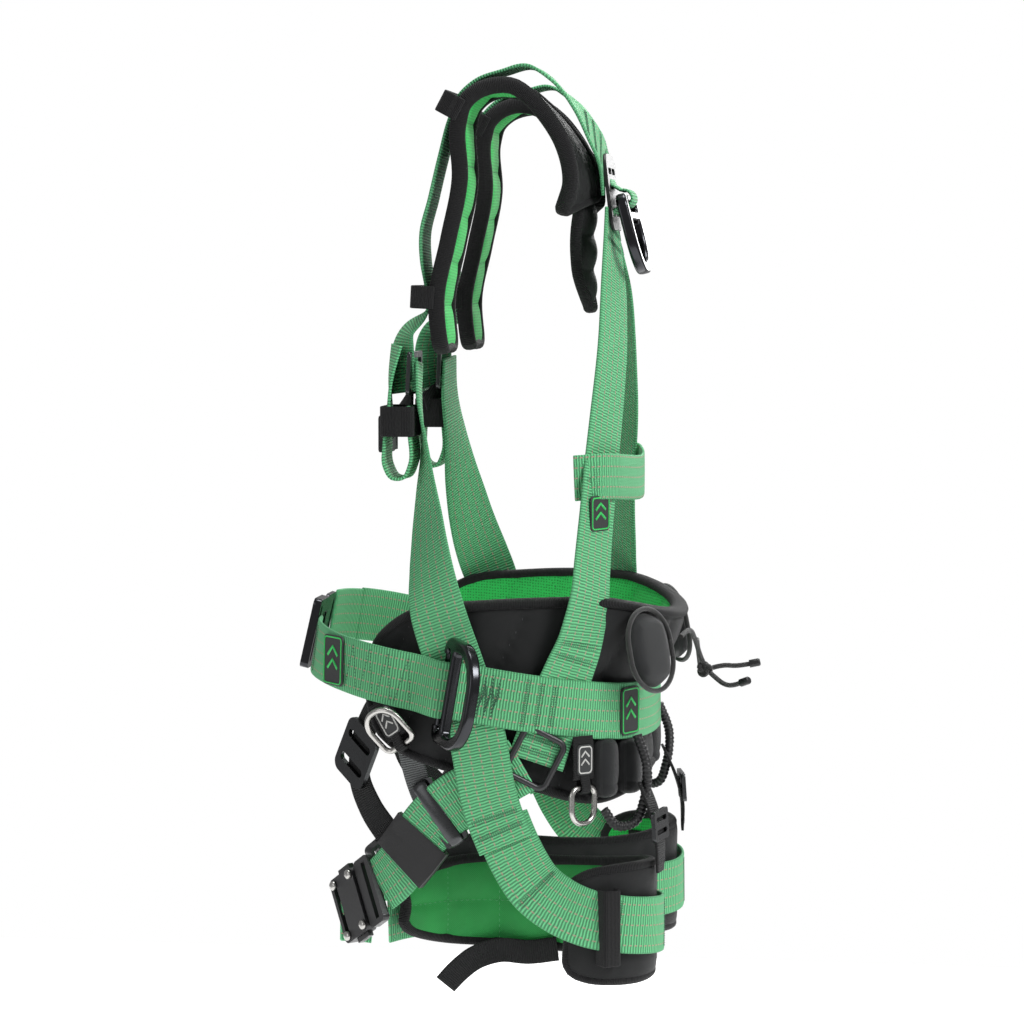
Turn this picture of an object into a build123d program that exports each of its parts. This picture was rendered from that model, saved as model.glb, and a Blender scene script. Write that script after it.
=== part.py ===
"""Tree climbing saddle: a padded waist belt, leg loops and shoulder straps, hung up by its shoulder pads.

Frame: +Z up, the wearer faces -Y and the wearer's left is +X.  The origin is where a hanger's bar
carries the two shoulder pads: midway between them, on the underside of their highest point.
"""

import os
from math import atan2, cos, degrees, radians, sin, tan

from build123d import *

# ---- driving dimensions, millimetres --------------------------------------------------------
WEB_WIDTH = 45.0           # the load-bearing webbing
WEB_THICK = 2.6
NARROW_WIDTH = 20.0        # chest strap and the pads' own straps
CROSS_WIDTH = 30.0         # strap that ties the two back straps together
LOOP_WIDTH = 25.0          # webbing that carries the small rings

BELT_HALF_WIDTH = 149.0    # waist belt in plan, to the middle of its webbing
BELT_HALF_DEPTH = 139.0
BELT_CENTRE_Y = -39.0
BELT_SQUARENESS = 2.4      # exponent of the belt's superellipse
BELT_SIDE_Z = -468.0       # belt height at its side rings
BELT_FALL = 0.17           # how far the belt falls per millimetre towards the back
CLOSURE_LIFT = 16.0        # the right front end hangs this much higher than the left one
CLOSURE_LEAN = 13.0        # degrees that the closure leans back

PAD_SHELL = 8.0            # stiff outer layer of the back pad
PAD_LINING = 6.0           # mesh layer inside it
LAYER_GAP = 0.3

SHOULDER_WIDTH = 62.0
SHOULDER_SHELL = 5.0
SHOULDER_LINING = 7.0
RIGHT_PAD_DROP = 8.0       # the right shoulder pad hangs a little lower

LEG_SHELL = 5.0
LEG_LINING = 5.0

D_RING_HEIGHT = 84.0       # forged side ring, along its bars
D_RING_REACH = 66.0
D_RING_THICK = 9.0
D_RING_RIM = 9.5
SLOT_BAR = 7.0             # ring bar that the webbing goes over
SLOT_WIDTH = 8.0

SMALL_RING_BAR = 4.6
CORD_THICK = 4.0           # elastic cord round the back pad's pocket

SIDES = (("left", 1), ("right", -1))

os.makedirs("parts", exist_ok=True)


def save(builder, name):
    """Label a finished sub-part and write it as its own STEP file."""
    builder.part.label = name
    export_step(builder.part, f"parts/{name}.step")


# ---- shared shapes --------------------------------------------------------------------------
def tangents(points):
    """Direction of travel at each point of a path: the mean of the runs on either side of it."""
    runs = [(end - start).normalized() for start, end in zip(points, points[1:])]
    return [(a + b).normalized() for a, b in zip([runs[0]] + runs, runs + [runs[-1]])]


def facing(heading, pitch=0.0):
    """Unit vector of a face: heading 0 is +X, 90 is +Y; pitch tips it up."""
    level = cos(radians(pitch))
    return Vector(cos(radians(heading)) * level, sin(radians(heading)) * level, sin(radians(pitch)))


def ribbon(stations, width=WEB_WIDTH, thickness=WEB_THICK, side=1):
    """Flat webbing through stations (x, y, z, heading[, pitch]); side -1 mirrors it to the right."""
    points = [Vector(side * s[0], s[1], s[2]) for s in stations]
    with BuildPart() as strap:
        for point, tangent, station in zip(points, tangents(points), stations):
            heading = station[3] if side > 0 else 180 - station[3]
            normal = facing(heading, *station[4:])
            with BuildSketch(Plane(origin=point, x_dir=tangent.cross(normal), z_dir=tangent)):
                Rectangle(width, thickness)
        loft(ruled=True)
    return strap


def upright_shell(columns, outer, inner, side=1):
    """Padding that stands on edge, between two offsets outward of its columns.

    A column is (x, y, heading, [(outward, z), ...]) with its profile listed from the top down.
    """
    with BuildPart() as shell:
        for x, y, heading, profile in columns:
            outward = facing(heading if side > 0 else 180 - heading)
            across = outward.cross(Vector(0, 0, 1))
            with BuildSketch(Plane(origin=(side * x, y, 0), x_dir=outward, z_dir=across)):
                with BuildLine():
                    down = [(offset + outer, z) for offset, z in profile]
                    up = [(offset + inner, z) for offset, z in reversed(profile)]
                    Polyline(*down, *up, close=True)
                make_face()
        loft(ruled=True)
    return shell


def d_shape(start, reach, height, near_corner, far_corner):
    """A D lying along +X from its straight bar: small corners at the bar, large ones at the bow."""
    with BuildSketch() as shape:
        with Locations((start + reach / 2, 0)):
            Rectangle(reach, height)
        fillet(shape.vertices().group_by(Axis.X)[0], near_corner)
        fillet(shape.vertices().group_by(Axis.X)[-1], far_corner)
    return shape.sketch


def bent_ring(plane, reach, height, near_corner, far_corner, bar):
    """A ring bent from round bar, its straight side along the plane's Y axis."""
    with BuildSketch(plane) as outline:
        add(d_shape(0, reach, height, near_corner, far_corner))
    path = outline.sketch.face().outer_wire()
    with BuildPart() as loop:
        with BuildSketch(Plane(origin=path @ 0, z_dir=path % 0)):
            Circle(bar / 2)
        sweep(path=path)
    return loop


def forged_ring(plane):
    """Forged D-ring: x runs from the slot bar out to the bow, y runs along the bars."""
    opening_start = SLOT_BAR / 2 + SLOT_WIDTH + SLOT_BAR
    opening_reach = D_RING_REACH - SLOT_BAR / 2 - opening_start - D_RING_RIM
    inner_height = D_RING_HEIGHT - 2 * D_RING_RIM
    with BuildPart() as forging:
        with BuildSketch(plane):
            add(d_shape(-SLOT_BAR / 2, D_RING_REACH, D_RING_HEIGHT, 11, 33))
            with Locations((SLOT_BAR / 2 + SLOT_WIDTH / 2, 0)):
                SlotOverall(inner_height, SLOT_WIDTH, rotation=90, mode=Mode.SUBTRACT)
            add(d_shape(opening_start, opening_reach, inner_height, 4, 24), mode=Mode.SUBTRACT)
        extrude(amount=D_RING_THICK / 2, both=True)
        faces = forging.faces().filter_by(lambda face: abs(face.normal_at().dot(plane.z_dir)) > 0.99)
        fillet(faces.edges(), 2.6)
        bar_end = Plane(origin=plane.origin, x_dir=plane.x_dir, z_dir=plane.y_dir)
        with BuildSketch(bar_end):
            Rectangle(SLOT_BAR + 1, D_RING_THICK + 1)
        extrude(amount=inner_height / 2 - SLOT_WIDTH / 2, both=True, mode=Mode.SUBTRACT)
        with BuildSketch(bar_end):
            Circle(SLOT_BAR / 2 - 0.3)
        extrude(amount=inner_height / 2 - 2, both=True)
    return forging


def tube(points, radii, diameter):
    """Round cord or loop along straight runs joined by tangent arcs."""
    with BuildPart() as cord:
        with BuildLine() as path:
            FilletPolyline(*points, radius=radii)
        wire = path.wire()
        with BuildSketch(Plane(origin=wire @ 0, z_dir=wire % 0)):
            Circle(diameter / 2)
        sweep(path=wire)
    return cord


def bend_radii(points):
    """The largest arc that each corner's two runs allow."""
    corners = [Vector(*p) for p in points]
    radii = []
    for before, corner, after in zip(corners, corners[1:], corners[2:]):
        run_in, run_out = corner - before, after - corner
        turn = radians(run_in.get_angle(run_out))
        radii.append(0.45 * min(run_in.length, run_out.length) / tan(turn / 2))
    return radii


def framed_plate(plane, width, length, thickness, slots, corner=4.0):
    """Flat buckle plate with crosswise slots: slots are (middle along y, slot width)."""
    with BuildPart() as plate:
        with BuildSketch(plane):
            RectangleRounded(width, length, corner)
            for middle, opening in slots:
                with Locations((0, middle)):
                    SlotOverall(width - 9, opening, mode=Mode.SUBTRACT)
        extrude(amount=thickness / 2, both=True)
    return plate


def mirrored(builder):
    """The same sub-part on the wearer's right."""
    with BuildPart() as twin:
        mirror(builder.part, about=Plane.YZ)
    return twin


def save_pair(builder, name):
    """Write a left-hand sub-part and its mirror image as two nodes."""
    save(builder, f"{name}_left")
    save(mirrored(builder), f"{name}_right")


def save_group(name, *builders):
    """Write like pieces that are fixed together as one node of separate solids."""
    with BuildPart() as group:
        for builder in builders:
            add(builder.part)
    save(group, name)


def save_both(name, *builders):
    """Write fixed pieces of the left side and their mirror images as one node."""
    save_group(name, *builders, *(mirrored(builder) for builder in builders))


# ---- waist belt -----------------------------------------------------------------------------
def ellipse_point(angle, half_width, half_depth):
    """Plan point and outward heading, the angle counted from the front through the left side."""
    s, c = sin(radians(angle)), -cos(radians(angle))
    power = 2 / BELT_SQUARENESS
    x = half_width * abs(s) ** power * (1 if s >= 0 else -1)
    y = half_depth * abs(c) ** power * (1 if c >= 0 else -1)
    slope_x = abs(x / half_width) ** (BELT_SQUARENESS - 1) / half_width * (1 if x >= 0 else -1)
    slope_y = abs(y / half_depth) ** (BELT_SQUARENESS - 1) / half_depth * (1 if y >= 0 else -1)
    return x, y + BELT_CENTRE_Y, degrees(atan2(slope_y, slope_x))


def belt_station(angle, outward=0.0):
    """A ribbon station on the belt, moved outwards where the webbing passes over a ring's bar."""
    x, y, heading = ellipse_point(angle, BELT_HALF_WIDTH, BELT_HALF_DEPTH)
    from_front = min(angle, 360 - angle)
    lift = CLOSURE_LIFT * max(0.0, cos(radians(angle))) if angle > 180 else 0.0
    lean = CLOSURE_LEAN * max(0.0, 1 - from_front / 50)
    away = facing(heading) * outward
    return x + away.X, y + away.Y, BELT_SIDE_Z - BELT_FALL * (y + 38) + lift, heading, lean


OVER_SLOT_BAR = [(79, 0), (83, 6), (85.5, 10), (87.5, 9), (90.5, 1.5), (93, 0)]
left_run = [(angle, 0) for angle in (9, 14, 20, 29, 39, 50, 61, 71)] + OVER_SLOT_BAR
rear_run = [(angle, 0) for angle in (101, 111, 122, 133, 145, 157, 169, 180)]
right_run = [(360 - angle, out) for angle, out in reversed(left_run[3:] + rear_run[:-1])]
belt = ribbon([belt_station(angle, out) for angle, out in left_run + rear_run + right_run])
save(belt, "belt_webbing")

# the closure: a frame on the left end, a tongue that pulls out of it on the right end
closure_up = Vector(0, sin(radians(CLOSURE_LEAN)), cos(radians(CLOSURE_LEAN)))
closure = Plane(origin=(0, -181, -437), x_dir=(1, 0, 0), z_dir=Vector(1, 0, 0).cross(closure_up))
with BuildPart() as closure_frame:
    with BuildSketch(closure):
        with Locations((20, 0)):
            RectangleRounded(36, 58, 5)
        with Locations((32, 0)):
            SlotOverall(48, 5, rotation=90, mode=Mode.SUBTRACT)
        with Locations((12, 0)):
            RectangleRounded(14, 34, 2, mode=Mode.SUBTRACT)
    extrude(amount=3.4, both=True)
    with BuildSketch(closure):
        with Locations((10, 0)):
            Rectangle(19, 30.8)
    extrude(amount=2, both=True, mode=Mode.SUBTRACT)
save(closure_frame, "closure_frame")
with BuildPart() as closure_tongue:
    with BuildSketch(closure):
        with Locations((-18, 0)):
            RectangleRounded(32, 58, 5)
        with Locations((-27, 0)):
            SlotOverall(48, 5, rotation=90, mode=Mode.SUBTRACT)
        with Locations((6, 0)):
            Rectangle(23, 30)
    extrude(amount=1.6, both=True)
save(closure_tongue, "closure_tongue")


# ---- back pad -------------------------------------------------------------------------------
# (angle, top edge, bottom edge) along the pad, left front tip to the middle of the back
PAD_EDGES = ((57, -444, -474), (61, -431, -500), (66, -420, -512), (73, -409, -521), (81, -402, -528),
             (90, -399, -535), (100, -397, -542), (112, -396, -549), (124, -396, -557),
             (136, -397, -561), (148, -402, -559), (160, -408, -554), (170, -412, -550),
             (180, -414, -548))
PAD_HALF_WIDTH = BELT_HALF_WIDTH - 9.0
PAD_HALF_DEPTH = BELT_HALF_DEPTH - 4.0
REAR_FLARE = 27.0          # the top edge stands this far out behind the belt's line


def pad_columns():
    """Columns of the back pad from the left tip round to the right tip."""
    half = []
    for angle, top, bottom in PAD_EDGES:
        x, y, heading = ellipse_point(angle, PAD_HALF_WIDTH, PAD_HALF_DEPTH)
        flare = REAR_FLARE * max(0.0, -cos(radians(angle))) ** 2.5
        waist = min(BELT_SIDE_Z - BELT_FALL * (y + 38) + 16, top - 10)
        profile = [(flare + 2, top), (0.75 * flare + 0.7, 0.6 * top + 0.4 * waist), (0, waist), (0.8, bottom)]
        half.append((x, y, heading, profile))
    other = [(-x, y, 180 - heading, profile) for x, y, heading, profile in reversed(half[:-1])]
    return half + other


save(upright_shell(pad_columns(), 0, -PAD_SHELL), "back_pad_shell")
save(upright_shell(pad_columns(), -PAD_SHELL - LAYER_GAP, -PAD_SHELL - LAYER_GAP - PAD_LINING),
     "back_pad_lining")

# oval pocket pads on the flared back corners, ringed by elastic cord
POCKET_HEIGHT, POCKET_WIDTH, POCKET_DEPTH = 60.0, 48.0, 8.0
pocket_face = facing(58, 12)
pocket = Plane(origin=Vector(95, 98, -440), x_dir=Vector(0, 0, 1).cross(pocket_face), z_dir=pocket_face)
with BuildPart() as pocket_pad:
    with BuildSketch(pocket):
        SlotOverall(POCKET_HEIGHT, POCKET_WIDTH, rotation=90)
    extrude(amount=POCKET_DEPTH + 6)
    fillet(pocket_pad.faces().sort_by(lambda face: -face.center().dot(pocket_face))[0].edges(), 5)
save_both("pocket_pads", pocket_pad)

# soft upright rolls under the belt at the back corners
with BuildPart() as rolls:
    for x, y, low, high in ((103, 68, -556, -508), (79, 84.5, -556, -511)):
        with BuildSketch(Plane.XY.offset(low)):
            with Locations((x, y)):
                Circle(11.5)
        extrude(amount=high - low)
save_both("corner_rolls", rolls)


# ---- shoulder pads --------------------------------------------------------------------------
# (y, z) along the outer face, front tip over the shoulder to the yoke, with the face's heading and pitch
SHOULDER_RUN = ((72, -69, -205, -90, -4), (72, -72, -164, -90, 0), (70, -63, -117, -90, 10),
                (68, -54, -70, -90, 6), (68, -55, -25, -90, 5), (68, -50, -8, -90, 35),
                (68, -39, 3, -90, 60), (67, -11, 9, -90, 84), (64, 5, 2, 90, 62), (60, 20, -12, 88, 48),
                (55, 35, -32, 84, 36), (46, 47, -66, 76, 12), (38, 44, -92, 70, -12))


def moved_in(stations, depth):
    """Stations moved against their own faces."""
    shifted = []
    for x, y, z, heading, pitch in stations:
        place = Vector(x, y, z) - facing(heading, pitch) * depth
        shifted.append((place.X, place.Y, place.Z, heading, pitch))
    return shifted


def lowered(stations, side):
    """The right shoulder hangs lower at its top and not at all at its front tip."""
    drop = RIGHT_PAD_DROP if side < 0 else 0.0
    return [(s[0], s[1], s[2] - drop * min(1.0, max(0.0, 1 + s[2] / 200)), *s[3:]) for s in stations]


linings = []
for name, side in SIDES:
    run = lowered(SHOULDER_RUN, side)
    shell_run = moved_in(run, SHOULDER_SHELL / 2)
    lining_run = moved_in(run, SHOULDER_SHELL + LAYER_GAP + SHOULDER_LINING / 2)[:-1]
    save(ribbon(shell_run, SHOULDER_WIDTH, SHOULDER_SHELL, side), f"shoulder_pad_{name}")
    linings.append(ribbon(lining_run, SHOULDER_WIDTH - 4, SHOULDER_LINING, side))
save_group("shoulder_linings", *linings)

# padded yoke between the shoulder blades, a curved tongue that hangs free below the plate
YOKE_RADIUS, YOKE_THICK = 52.0, 9.0
with BuildPart() as yoke:
    with BuildSketch(Plane.XY.offset(-176)):
        with Locations((0, -2)):
            Circle(YOKE_RADIUS)
            Circle(YOKE_RADIUS - YOKE_THICK, mode=Mode.SUBTRACT)
    extrude(amount=118)
    with BuildSketch(Plane.XZ) as tongue:
        with BuildLine():
            Spline((-48, -50), (-42, -95), (-34, -140), (0, -175), (34, -140), (42, -95), (48, -50))
            Line((48, -50), (-48, -50))
        make_face()
    extrude(amount=-80, mode=Mode.INTERSECT)
save(yoke, "yoke_pad")


# ---- shoulder webbing, dorsal plate and its ring --------------------------------------------
SHOULDER_STRAP = ((14, 57, -70, 88, 8), (27, 56, -48, 84, 12), (46, 48, -28, 80, 28), (60, 34, -6, 84, 50),
                  (67, 20, 10, 88, 60), (68, 4, 19, 90, 84), (68, -16, 15, -90, 74), (68, -36, 8.5, -90, 60),
                  (68, -51, -5, -90, 35), (68, -58, -24, -90, 5), (69, -64, -48, -90, 12),
                  (70, -73, -84, -90, 16), (71, -80, -112, -90, 2), (72, -79, -134, -90, -14),
                  (72, -75, -156, -90, 0), (73, -78, -174, -80, 22), (75, -94, -190, -66, 30),
                  (77, -98, -214, -56, 0), (78, -96, -238, -52, -8))
KEEPER_AT = ((68, -54.5, -12, 28), (72, -76.5, -162, 3))   # x, y, z, pitch of the elastic keepers
keepers = []
for name, side in SIDES:
    for x, y, z, pitch in KEEPER_AT:
        (_, _, low, _, _), = lowered([(x, y, z, -90, pitch)], side)
        face = facing(-90, pitch)
        plane = Plane(origin=(side * x, y, low), x_dir=(1, 0, 0), z_dir=Vector(1, 0, 0).cross(face))
        with BuildPart() as keeper:
            with BuildSketch(plane):
                RectangleRounded(70, 21, 3)
                Rectangle(66, 17, mode=Mode.SUBTRACT)
            extrude(amount=9, both=True)
        keepers.append(keeper)
save_group("shoulder_straps", *(ribbon(lowered(SHOULDER_STRAP, side), side=side) for _, side in SIDES))

plate_up = Vector(0, -0.12, 1).normalized()
plate_plane = Plane(origin=(0, 62, -78), x_dir=(1, 0, 0), z_dir=Vector(1, 0, 0).cross(plate_up))
with BuildPart() as dorsal_plate:
    with BuildSketch(plate_plane):
        RectangleRounded(66, 62, 12)
        with GridLocations(26, 34, 2, 2):
            SlotOverall(22, 5, rotation=0, mode=Mode.SUBTRACT)
    extrude(amount=1.5, both=True)
save(dorsal_plate, "dorsal_plate")

DORSAL_HANG = 14.5         # the dorsal ring hangs back from plumb by this much
dorsal_down = Vector(0, sin(radians(DORSAL_HANG)), -cos(radians(DORSAL_HANG)))
dorsal_hinge = Vector(0, 73, -83)
dorsal_plane = Plane(origin=dorsal_hinge, x_dir=dorsal_down, z_dir=dorsal_down.cross(Vector(1, 0, 0)))
save(forged_ring(dorsal_plane), "dorsal_d_ring")

# the webbing loop round the dorsal ring's slot bar
with BuildPart() as dorsal_wrap:
    with BuildSketch(Plane(origin=dorsal_hinge, x_dir=(0, 1, 0), z_dir=(1, 0, 0))):
        Circle(8.0)
        Circle(5.9, mode=Mode.SUBTRACT)
    extrude(amount=20, both=True)
save(dorsal_wrap, "dorsal_ring_strap")


# ---- back straps ----------------------------------------------------------------------------
BACK_STRAP = ((16, 63, -98, 84), (24, 65, -118, 78), (38, 68, -150, 70), (54, 69, -188, 66),
              (70, 68, -228, 64), (84, 66, -268, 62), (95, 63, -304, 61), (105, 61, -340, 60),
              (116, 60, -372, 57), (125, 59, -396, 54), (127.5, 55, -415, 50), (127.5, 49.5, -435, 44),
              (128, 43, -452, 38), (130.7, 35, -475, 28), (134.8, 26, -500, 20), (137.4, 18, -524, 14))
save_group("back_straps", *(ribbon(BACK_STRAP, side=side) for _, side in SIDES))
cross_left = ((103, 64, -303, 61), (86, 74, -303, 64), (60, 81, -305, 76), (30, 85, -307, 84),
              (0, 86, -308, 90))
cross = list(cross_left) + [(-x, y, z, 180 - h) for x, y, z, h in reversed(cross_left[:-1])]
save(ribbon(cross, CROSS_WIDTH), "back_cross_strap")


# ---- front straps, shoulder adjusters, stowed tails -----------------------------------------
FRONT_STRAP = ((74, -84, -214, -86), (76, -84, -240, -84), (80, -80, -276, -78), (90, -77, -312, -62),
               (104, -73, -340, -46), (121, -69, -365, -32), (136, -64, -387, -18), (143.8, -59, -404, -8),
               (144.8, -54, -420, -3), (144.8, -47, -440, 0), (144.8, -38, -466, 0),
               (145.2, -30, -490, 0), (146.6, -24, -518, 1), (147.2, -19, -545, 2),
               (147, -13, -566, 4), (146.6, -4, -588, 6))
save_group("front_straps", *(ribbon(FRONT_STRAP, side=side) for _, side in SIDES))

adjuster_plane = Plane(origin=(74, -88.5, -222), x_dir=(1, 0, 0), z_dir=(0, -1, 0.05))
adjuster = framed_plate(adjuster_plane, 56, 34, 3.2, ((9, 6), (-9, 6)))
save_both("shoulder_adjusters", adjuster)
TAIL = ((80, -101, -200, -70), (81, -106, -228, -78), (82, -107, -252, -84), (82, -109, -278, -88),
        (82, -108, -296, -90, -20), (82, -102, -305, -90, -60), (82, -94, -305, -90, -120),
        (82, -88, -294, -90, -165), (82, -88, -270, -90, 180), (82, -89, -248, -90, 180))
tail = ribbon(TAIL, 40)
save_both("stowed_tails", tail)
with BuildPart() as tail_keeper:
    with BuildSketch(Plane.XY.offset(-272)):
        with Locations((82, -98)):
            RectangleRounded(46, 27, 3)
            RectangleRounded(43, 24, 2, mode=Mode.SUBTRACT)
    extrude(amount=24)
keepers += [tail_keeper, mirrored(tail_keeper)]

# chest strap: narrow webbing with a plastic side-release buckle in the middle
CHEST_Z, CHEST_Y = -274.0, -122.0
chest_left = ribbon(((72, -90, -240, -80), (58, -98, -251, -72), (38, -110, -264, -66), (23, -118.5, -271, -78)),
                    NARROW_WIDTH, 1.8)
chest_right = ribbon(((-72, -90, -240, -100), (-64, -95, -246, -106), (-55, -101, -252, -112)),
                     NARROW_WIDTH, 1.8)
save_group("chest_straps", chest_left, chest_right)
with BuildPart() as socket:
    with Locations((11.5, CHEST_Y, CHEST_Z)):
        Box(21, 10, 30)
    with Locations((11.5, CHEST_Y, CHEST_Z)):
        Box(21.5, 5.4, 20.6, mode=Mode.SUBTRACT)
    with Locations((21, CHEST_Y, CHEST_Z)):
        Box(4, 10, 26)
    fillet(socket.edges().filter_by(Axis.X).group_by(SortBy.LENGTH)[-1], 1.5)
save(socket, "chest_buckle_socket")
with BuildPart() as plug:
    with Locations((-8, CHEST_Y, CHEST_Z)):
        Box(15, 9, 28)
    with Locations((-10, CHEST_Y, CHEST_Z)):
        Box(4, 9.5, 21, mode=Mode.SUBTRACT)
    for z in (-7.5, 7.5):
        with Locations((8, CHEST_Y, CHEST_Z + z)):
            Box(18, 4.4, 4.2)
    with Locations((7, CHEST_Y, CHEST_Z)):
        Box(16, 4.4, 4)
save(plug, "chest_buckle_plug")


# ---- side rings: the belt passes over the slot bar and behind the next one ------------------
RING_SWING = 30            # degrees that each ring is swung back from straight out
belt_across = Vector(0, BELT_FALL, 1).normalized()
ring_hinge = Vector(151.5, -52, BELT_SIDE_Z - BELT_FALL * (38 - 52))
ring_out = facing(RING_SWING) - belt_across * facing(RING_SWING).dot(belt_across)
save_pair(forged_ring(Plane(origin=ring_hinge, x_dir=ring_out, z_dir=ring_out.cross(belt_across))),
          "side_d_ring")


# ---- small equipment rings on sewn tabs -----------------------------------------------------
RING_CLEARANCE = 0.45
TAB_WIDTH = 22.0


def tab_and_ring(top, bottom, heading, swing, reach, height):
    """A webbing tab from top to bottom, with a ring through the loop at its lower end.

    The ring is swung outwards by an angle from straight down the tab.
    """
    down = (bottom - top).normalized()
    across = down.cross(facing(heading)).normalized()
    face = across.cross(down)
    eye_inner = SMALL_RING_BAR / 2 + RING_CLEARANCE
    eye_outer = eye_inner + 2.0
    eye = bottom + down * (eye_outer - 1.0) + face * 2.4
    with BuildPart() as tab:
        with BuildSketch(Plane(origin=(top + bottom) * 0.5 - down * 1.5, x_dir=across, z_dir=face)):
            Rectangle(TAB_WIDTH, (bottom - top).length - 3)
        with BuildSketch(Plane(origin=bottom - down * 1.5, x_dir=across, z_dir=face)):
            Rectangle(10.4, 7)
        extrude(amount=1.3, both=True)
        with BuildSketch(Plane(origin=eye, x_dir=down, z_dir=across)):
            Circle(eye_outer)
        extrude(amount=5.2, both=True)
        with BuildSketch(Plane(origin=eye, x_dir=down, z_dir=across)):
            Circle(eye_inner)
        extrude(amount=6, both=True, mode=Mode.SUBTRACT)
    hang = down * cos(radians(swing)) + face * sin(radians(swing))
    plane = Plane(origin=eye, x_dir=hang, z_dir=hang.cross(across))
    return tab, bent_ring(plane, reach, height, 6, height / 2 - 1, SMALL_RING_BAR)


rear_tab, rear_ring = tab_and_ring(Vector(124.4, 52.2, -504), Vector(125.7, 52.2, -541), 52, 0, 28, 25)
front_tab, front_ring = tab_and_ring(Vector(133.5, -106, -478), Vector(139.2, -88, -508), -30, 158, 34, 31)
save_both("ring_tabs", rear_tab, front_tab)
save_pair(rear_ring, "rear_gear_ring")
save_pair(front_ring, "front_gear_ring")


# ---- gear loops, pocket cord, knot and cord tails -------------------------------------------
GEAR_LOOP = ((93, 93, -507), (97, 101, -530), (96, 99, -558), (101, 92, -575), (110, 79, -577),
             (113, 69, -564))
save_both("gear_loops", tube(GEAR_LOOP, bend_radii(GEAR_LOOP), 8.0))

with BuildSketch(Plane(origin=pocket.origin + pocket.z_dir * 9.5, x_dir=pocket.x_dir,
                       z_dir=pocket.z_dir)) as cord_line:
    SlotOverall(POCKET_HEIGHT + CORD_THICK + 0.8, POCKET_WIDTH + CORD_THICK + 0.8, rotation=90)
cord_path = cord_line.sketch.face().outer_wire()
with BuildPart() as cord_loop:
    with BuildSketch(Plane(origin=cord_path @ 0, z_dir=cord_path % 0)):
        Circle(CORD_THICK / 2)
    sweep(path=cord_path)

KNOT = Vector(18, 140, -463)
CORD_BRIDGE = ((79, 126, -430), (58, 131, -424), (38, 134, -436), (23, 137, -452), (19.5, 139, -457))
bridge_left = tube(CORD_BRIDGE, bend_radii(CORD_BRIDGE), CORD_THICK)
CORD_RETURN = ((-79, 126, -450), (-52, 130, -462), (-22, 134, -470), (4, 138, -466), (12, 140, -464))
bridge_right = tube(CORD_RETURN, bend_radii(CORD_RETURN), CORD_THICK)
save_group("pocket_cords", cord_loop, mirrored(cord_loop), bridge_left, bridge_right)
with BuildPart() as knot:
    with Locations(KNOT):
        Sphere(6.8)
save(knot, "cord_knot")

TAILS = {"long": ((16, 146.5, -462), (15, 155, -459.5), (12, 166, -461), (11, 176, -459)),
         "short": ((21, 145.5, -466), (26, 151, -470), (31, 157, -473.5), (36, 164, -474), (40, 171, -471))}
for name, route in TAILS.items():
    radii = bend_radii(route)
    print(name, "cord tail radii", [round(radius, 1) for radius in radii])
    save(tube(route, radii, CORD_THICK), f"cord_tail_{name}")
    end, before = Vector(*route[-1]), Vector(*route[-2])
    with BuildPart() as cap:
        with BuildSketch(Plane(origin=end, z_dir=end - before)):
            Circle(3.2)
        extrude(amount=9)
        fillet(cap.edges().filter_by(GeomType.CIRCLE).sort_by(Axis.Y)[-1], 1.5)
    save(cap, f"cord_cap_{name}")


# ---- hip buckle and hip strap ---------------------------------------------------------------
hip_plane = Plane(origin=(143.5, 3, -512), x_dir=(-0.2, 0.88, -0.47), z_dir=(1, 0.22, 0.0))
save_both("hip_buckles", bent_ring(hip_plane, 34, 40, 6, 6, 5))
HIP_STRAP = ((141, 8, -525, 8), (143, -20, -541, 2), (140.5, -46, -556, -5), (132.5, -68, -577, -14),
             (127, -84, -600, -22), (122.5, -98, -618, -30), (118.5, -109, -628, -38))
save_group("hip_straps", *(ribbon(HIP_STRAP, side=side) for _, side in SIDES))
slide_face = facing(-10, 4)
slide_plane = Plane(origin=(133, -59, -566), x_dir=(-0.12, -0.58, 0.8), z_dir=slide_face)
save_both("hip_slides", framed_plate(slide_plane, 56, 21, 3.6, ((0, 9),), 3))
sleeve_line = ((130, -72, -583, -16), (127.5, -82, -597, -21), (124.5, -92, -610, -26))
sleeve_outer = ribbon(sleeve_line, 52, 6.4)
sleeve_inner = ribbon(((131, -69, -578.7, -14), *sleeve_line, (123.3, -95.7, -614.8, -28)), 47, 3.4)
with BuildPart() as sleeve:
    add(sleeve_outer.part)
    add(sleeve_inner.part, mode=Mode.SUBTRACT)
save_both("strap_sleeves", sleeve)


# ---- leg loops ------------------------------------------------------------------------------
LEG_STRAP = ((144, -9, -568, 4), (143.7, -3, -583, 6), (143.4, 6, -602, 8), (144, 19, -621, 12),
             (145, 38, -635, 16), (143.5, 62, -645, 24), (136, 86, -650, 42), (122, 104, -653, 62),
             (98, 113, -656, 86), (72, 110, -658, 110), (50, 92, -659, 138), (37, 62, -660, 166),
             (32.5, 26, -660, 178), (33, -12, -659, 183), (38, -48, -658, 194), (49, -78, -658, 212),
             (66, -98, -659, 228), (80, -109, -660, 236))
LEG_PAD = ((82, -102, 238, -634, -668), (66, -89, 228, -627, -676), (51, -69, 212, -620, -682),
           (41, -42, 196, -617, -685), (36, -10, 183, -617, -687), (36, 26, 178, -618, -689),
           (40.5, 60, 166, -617, -690), (53, 88, 138, -614, -692), (73, 105, 110, -610, -694),
           (98, 109, 86, -608, -695), (120, 100, 62, -607, -696), (133, 83, 42, -608, -696),
           (140, 61, 24, -612, -694), (141, 42, 10, -622, -688))


def leg_columns(grow=0.0):
    """Leg pad columns with a slight waist, so that the padding hugs the strap."""
    return [(x, y, heading, [(1.2, top - grow), (0, (top + low) / 2), (1.0, low + grow)])
            for x, y, heading, top, low in LEG_PAD]


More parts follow.
